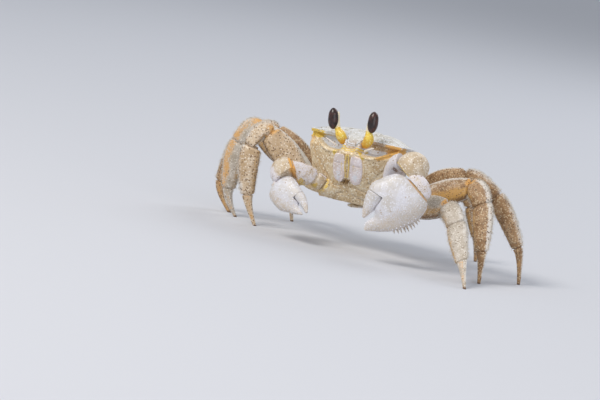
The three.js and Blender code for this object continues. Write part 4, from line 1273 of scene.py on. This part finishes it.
def build_wrist(side, arm):
    """The carpus: a rounded block, flat where it meets the palm and the arm. The large one has a
    white heel, which fills the corner between it and the palm."""
    wrist, u, v, w = hand_frame(arm)
    elbow, seam = np.array(arm["elbow"], float), unit(arm["seam"])
    middle = np.array(arm["dome"], float)
    large = side > 0
    form = Form()
    if large:
        heel = lobe(wrist - u * HEEL["back"] - w * HEEL["in"], HEEL["size"], (v, w, u))
        form.skin(heel, pale=0.62 + 0.25 * ripple(heel, 2.5, 9))
    rings = lobe(middle, arm["dome_size"], (v, w, u))
    rings = rings + skin_normals(rings) * (0.13 * ripple(rings, 3.5, 5 + side))[..., None]
    to_wrist = -((rings - wrist) @ u)
    to_arm = (rings - elbow) @ seam
    below = -((rings - middle) @ v) / arm["dome_size"][0]
    form.skin(rings, pale=0.8 * (not large) * smoothstep(below, -0.2, 0.6),
              stain=1.25 * (not large) * hump(to_arm, 0.5, 0.7),
              yellow=0.9 * large * hump(to_wrist, 0.3, 0.4))
    i, j = scattered(rings, WRIST_GRANULES, 3, 3)
    free = (to_wrist[i, j] > 0.6) & (to_arm[i, j] > 0.6 + GAP)
    granules(form, rings, i[free], j[free], (0.0, 0.6))
    name = f"claw_{SIDE[side]}"
    made = piece(f"{name}_wrist_shell", form, ARM_SHELL, [f"{name}_wrist"])
    trim(made, wrist - u * GAP, u)
    trim(made, elbow + seam * GAP, -seam)
    form = Form()
    joint = elbow + seam * GAP / 2
    tint = {"pale": 0.9, "stain": 0.9 * (not large)}
    cuff(form, joint - seam * CUFF, joint + seam * CUFF, w, (3.6, 2.2), **tint)
    joint = wrist - u * (GAP / 2) - v * (1.3 if large else 1.0)
    size = (3.4, 1.8) if large else (3.5, 1.6)
    cuff(form, joint - u * CUFF, joint + u * CUFF, v, size, yellow=0.8 * large, pale=0.6 * (not large))
    piece(f"{name}_joint_cuffs", form, ARM_SHELL)


def build_arm(side, arm):
    """The two arm pieces between the breastplate and the carpus."""
    w = hand_frame(arm)[3]
    shoulder, bow, end, elbow = (np.array(arm[key], float) for key in ("shoulder", "bow", "end", "elbow"))
    seam = unit(arm["seam"])
    direction = unit(bow - shoulder)
    up = np.cross(w, direction)
    up = up if up[2] > 0 else -up
    stub_end = COXA - 1
    base_end = stub_end + 4.6
    starts = (stub_end + GAP, base_end, base_end + GAP)
    base_from, base_to, arm_from = (shoulder + direction * start for start in starts)
    reach = np.linalg.norm(bow - arm_from) + np.linalg.norm(end - bow)
    whole = stations(reach, 0.3)
    base = stations(4.3)
    plan = (
        ("base", straight(base_from, base_to, base), 0 * base),
        ("arm", bezier(arm_from, bow, end, whole), whole),
    )
    for part, centres, share in plan:
        rings, rise, run = tube(centres, up, lerp(*arm["tall"], share), lerp(*arm["thick"], share))
        upper = part == "arm"
        past_elbow = (rings - elbow) @ seam
        last = np.abs(past_elbow) if upper else run.max() - run
        spot = np.hypot(rings[..., 0] - ARM_SPOT[0], rings[..., 2] - ARM_SPOT[1])
        form = Form()
        form.skin(rings, pale=upper * (0.8 if side > 0 else 0.55 * smoothstep(rise, -0.9, -0.2)),
                  stain=0.8 * (side < 0) * upper * hump(last, 0, 0.5),
                  yellow=0.9 * (side < 0) * hump(last, 1.4, 1.4) * (1 - smoothstep(rise, -0.5, 0.3)),
                  dark=1.3 * (side > 0) * hump(spot, 0, 1.0))
        if upper:
            i, j = scattered(rings, ARM_GRANULES, 3, 0)
            free = past_elbow[i, j] < -0.4
            granules(form, rings, i[free], j[free], (0.2, 0.7))
        else:
            edge_detail(form, rings, 0.9)
            end_cuff(form, centres, up, (arm["tall"][0] * 0.8, arm["thick"][0] * 0.8), dark=0.3)
        name = f"claw_{SIDE[side]}_{part}"
        made = piece(f"{name}_shell", form, ARM_SHELL, [name])
        if upper:
            trim(made, elbow, seam)


def granules(form, rings, i, j, pales):
    """Granules of mixed size and paleness on the given points of a skin."""
    sizes = rng.uniform(0.1, 0.2, len(i))
    beads(form, rings[i, j], skin_normals(rings)[i, j], sizes, pale=rng.choice(pales, len(i)))


# ------------------------------------------------------------------ studio
FLOOR = 6.0  # half its width, metres
LAMPS = {  # place and width in metres, power in watts, colour
    "key": ((-0.45, -0.75, 1.05), 0.55, 11.0, "FFF8EE"),
    "fill": ((0.95, -0.9, 0.5), 0.9, 4.0, "F8F6FA"),
    "rim": ((0.2, 1.0, 0.9), 0.8, 5.0, "FFFFFF"),
}
LAMPS_AIM = (0, 0, 0.03)
CAMERA = {"azimuth": 22.0, "elevation": 7.0, "roll": 10.5, "lens": 200.0, "sensor": 36.0}
CAMERA_AT = (480.503, -1254.969, 178.470)  # millimetres, in the crab's own place


def set_up(made, x, y, z, at):
    """Puts a lamp or the camera in the scene, turned to look against z."""
    made.matrix_world = Matrix(np.vstack([np.column_stack([x, y, z, at]), [0, 0, 0, 1]]))
    bpy.context.scene.collection.objects.link(made)


def build_studio():
    """A matt pale floor, an even sky and three soft lamps."""
    mesh = bpy.data.meshes.new("floor")
    square = ((-1, -1), (1, -1), (1, 1), (-1, 1))
    mesh.from_pydata([(x * FLOOR, y * FLOOR, 0) for x, y in square], [], [(0, 1, 2, 3)])
    finish, tree = new_finish("matt painted board")
    shader = add(tree, "BsdfPrincipled", {"Base Color": linear("CBCED6"), "Roughness": 0.9})
    add(tree, "OutputMaterial", {"Surface": shader})
    mesh.materials.append(finish)
    floor = bpy.data.objects.new("floor", mesh)
    bpy.context.scene.collection.objects.link(floor)
    world = bpy.data.worlds.new("soft studio")
    world.use_nodes = True
    sky = world.node_tree.nodes["Background"]
    sky.inputs["Color"].default_value = linear("E6EAF0")
    sky.inputs["Strength"].default_value = 0.56
    bpy.context.scene.world = world
    for name, (at, size, power, colour) in LAMPS.items():
        light = bpy.data.lights.new(name, "AREA")
        light.size = size
        light.energy = power
        light.color = linear(colour)[:3]
        z = unit(np.array(at) - LAMPS_AIM)
        x = unit(np.cross([0, 0, 1.0], z))
        set_up(bpy.data.objects.new(name, light), x, np.cross(z, x), z, at)
    bpy.context.scene.view_settings.view_transform = "Standard"


def build_camera():
    azimuth, elevation, roll = (math.radians(CAMERA[key]) for key in ("azimuth", "elevation", "roll"))
    back = np.array([math.sin(azimuth) * math.cos(elevation), -math.cos(azimuth) * math.cos(elevation),
                     math.sin(elevation)])
    level = np.array([math.cos(azimuth), math.sin(azimuth), 0])
    upright = np.cross(back, level)
    right = math.cos(roll) * level + math.sin(roll) * upright
    up = -math.sin(roll) * level + math.cos(roll) * upright
    data = bpy.data.cameras.new("camera")
    data.lens = CAMERA["lens"]
    data.sensor_width = CAMERA["sensor"]
    data.dof.use_dof = False
    camera = bpy.data.objects.new("camera", data)
    set_up(camera, right, up, back, (np.array(CAMERA_AT) + SHIFT) * MM)
    bpy.context.scene.camera = camera


# ------------------------------------------------------------------ the crab
build_camera()
build_studio()
build_body()
build_mouth()
build_feelers()
build_abdomen()
build_eyes()
for side in (1, -1):
    setae = Form()
    for number, (pair, stance) in enumerate(zip(PAIRS, STANCE[side]), 1):
        build_leg(side, number, pair, stance, setae)
    piece(f"leg_setae_{SIDE[side]}", setae, PALE_SETAE)
    build_hand(side, ARMS[side])
    build_wrist(side, ARMS[side])
    build_arm(side, ARMS[side])
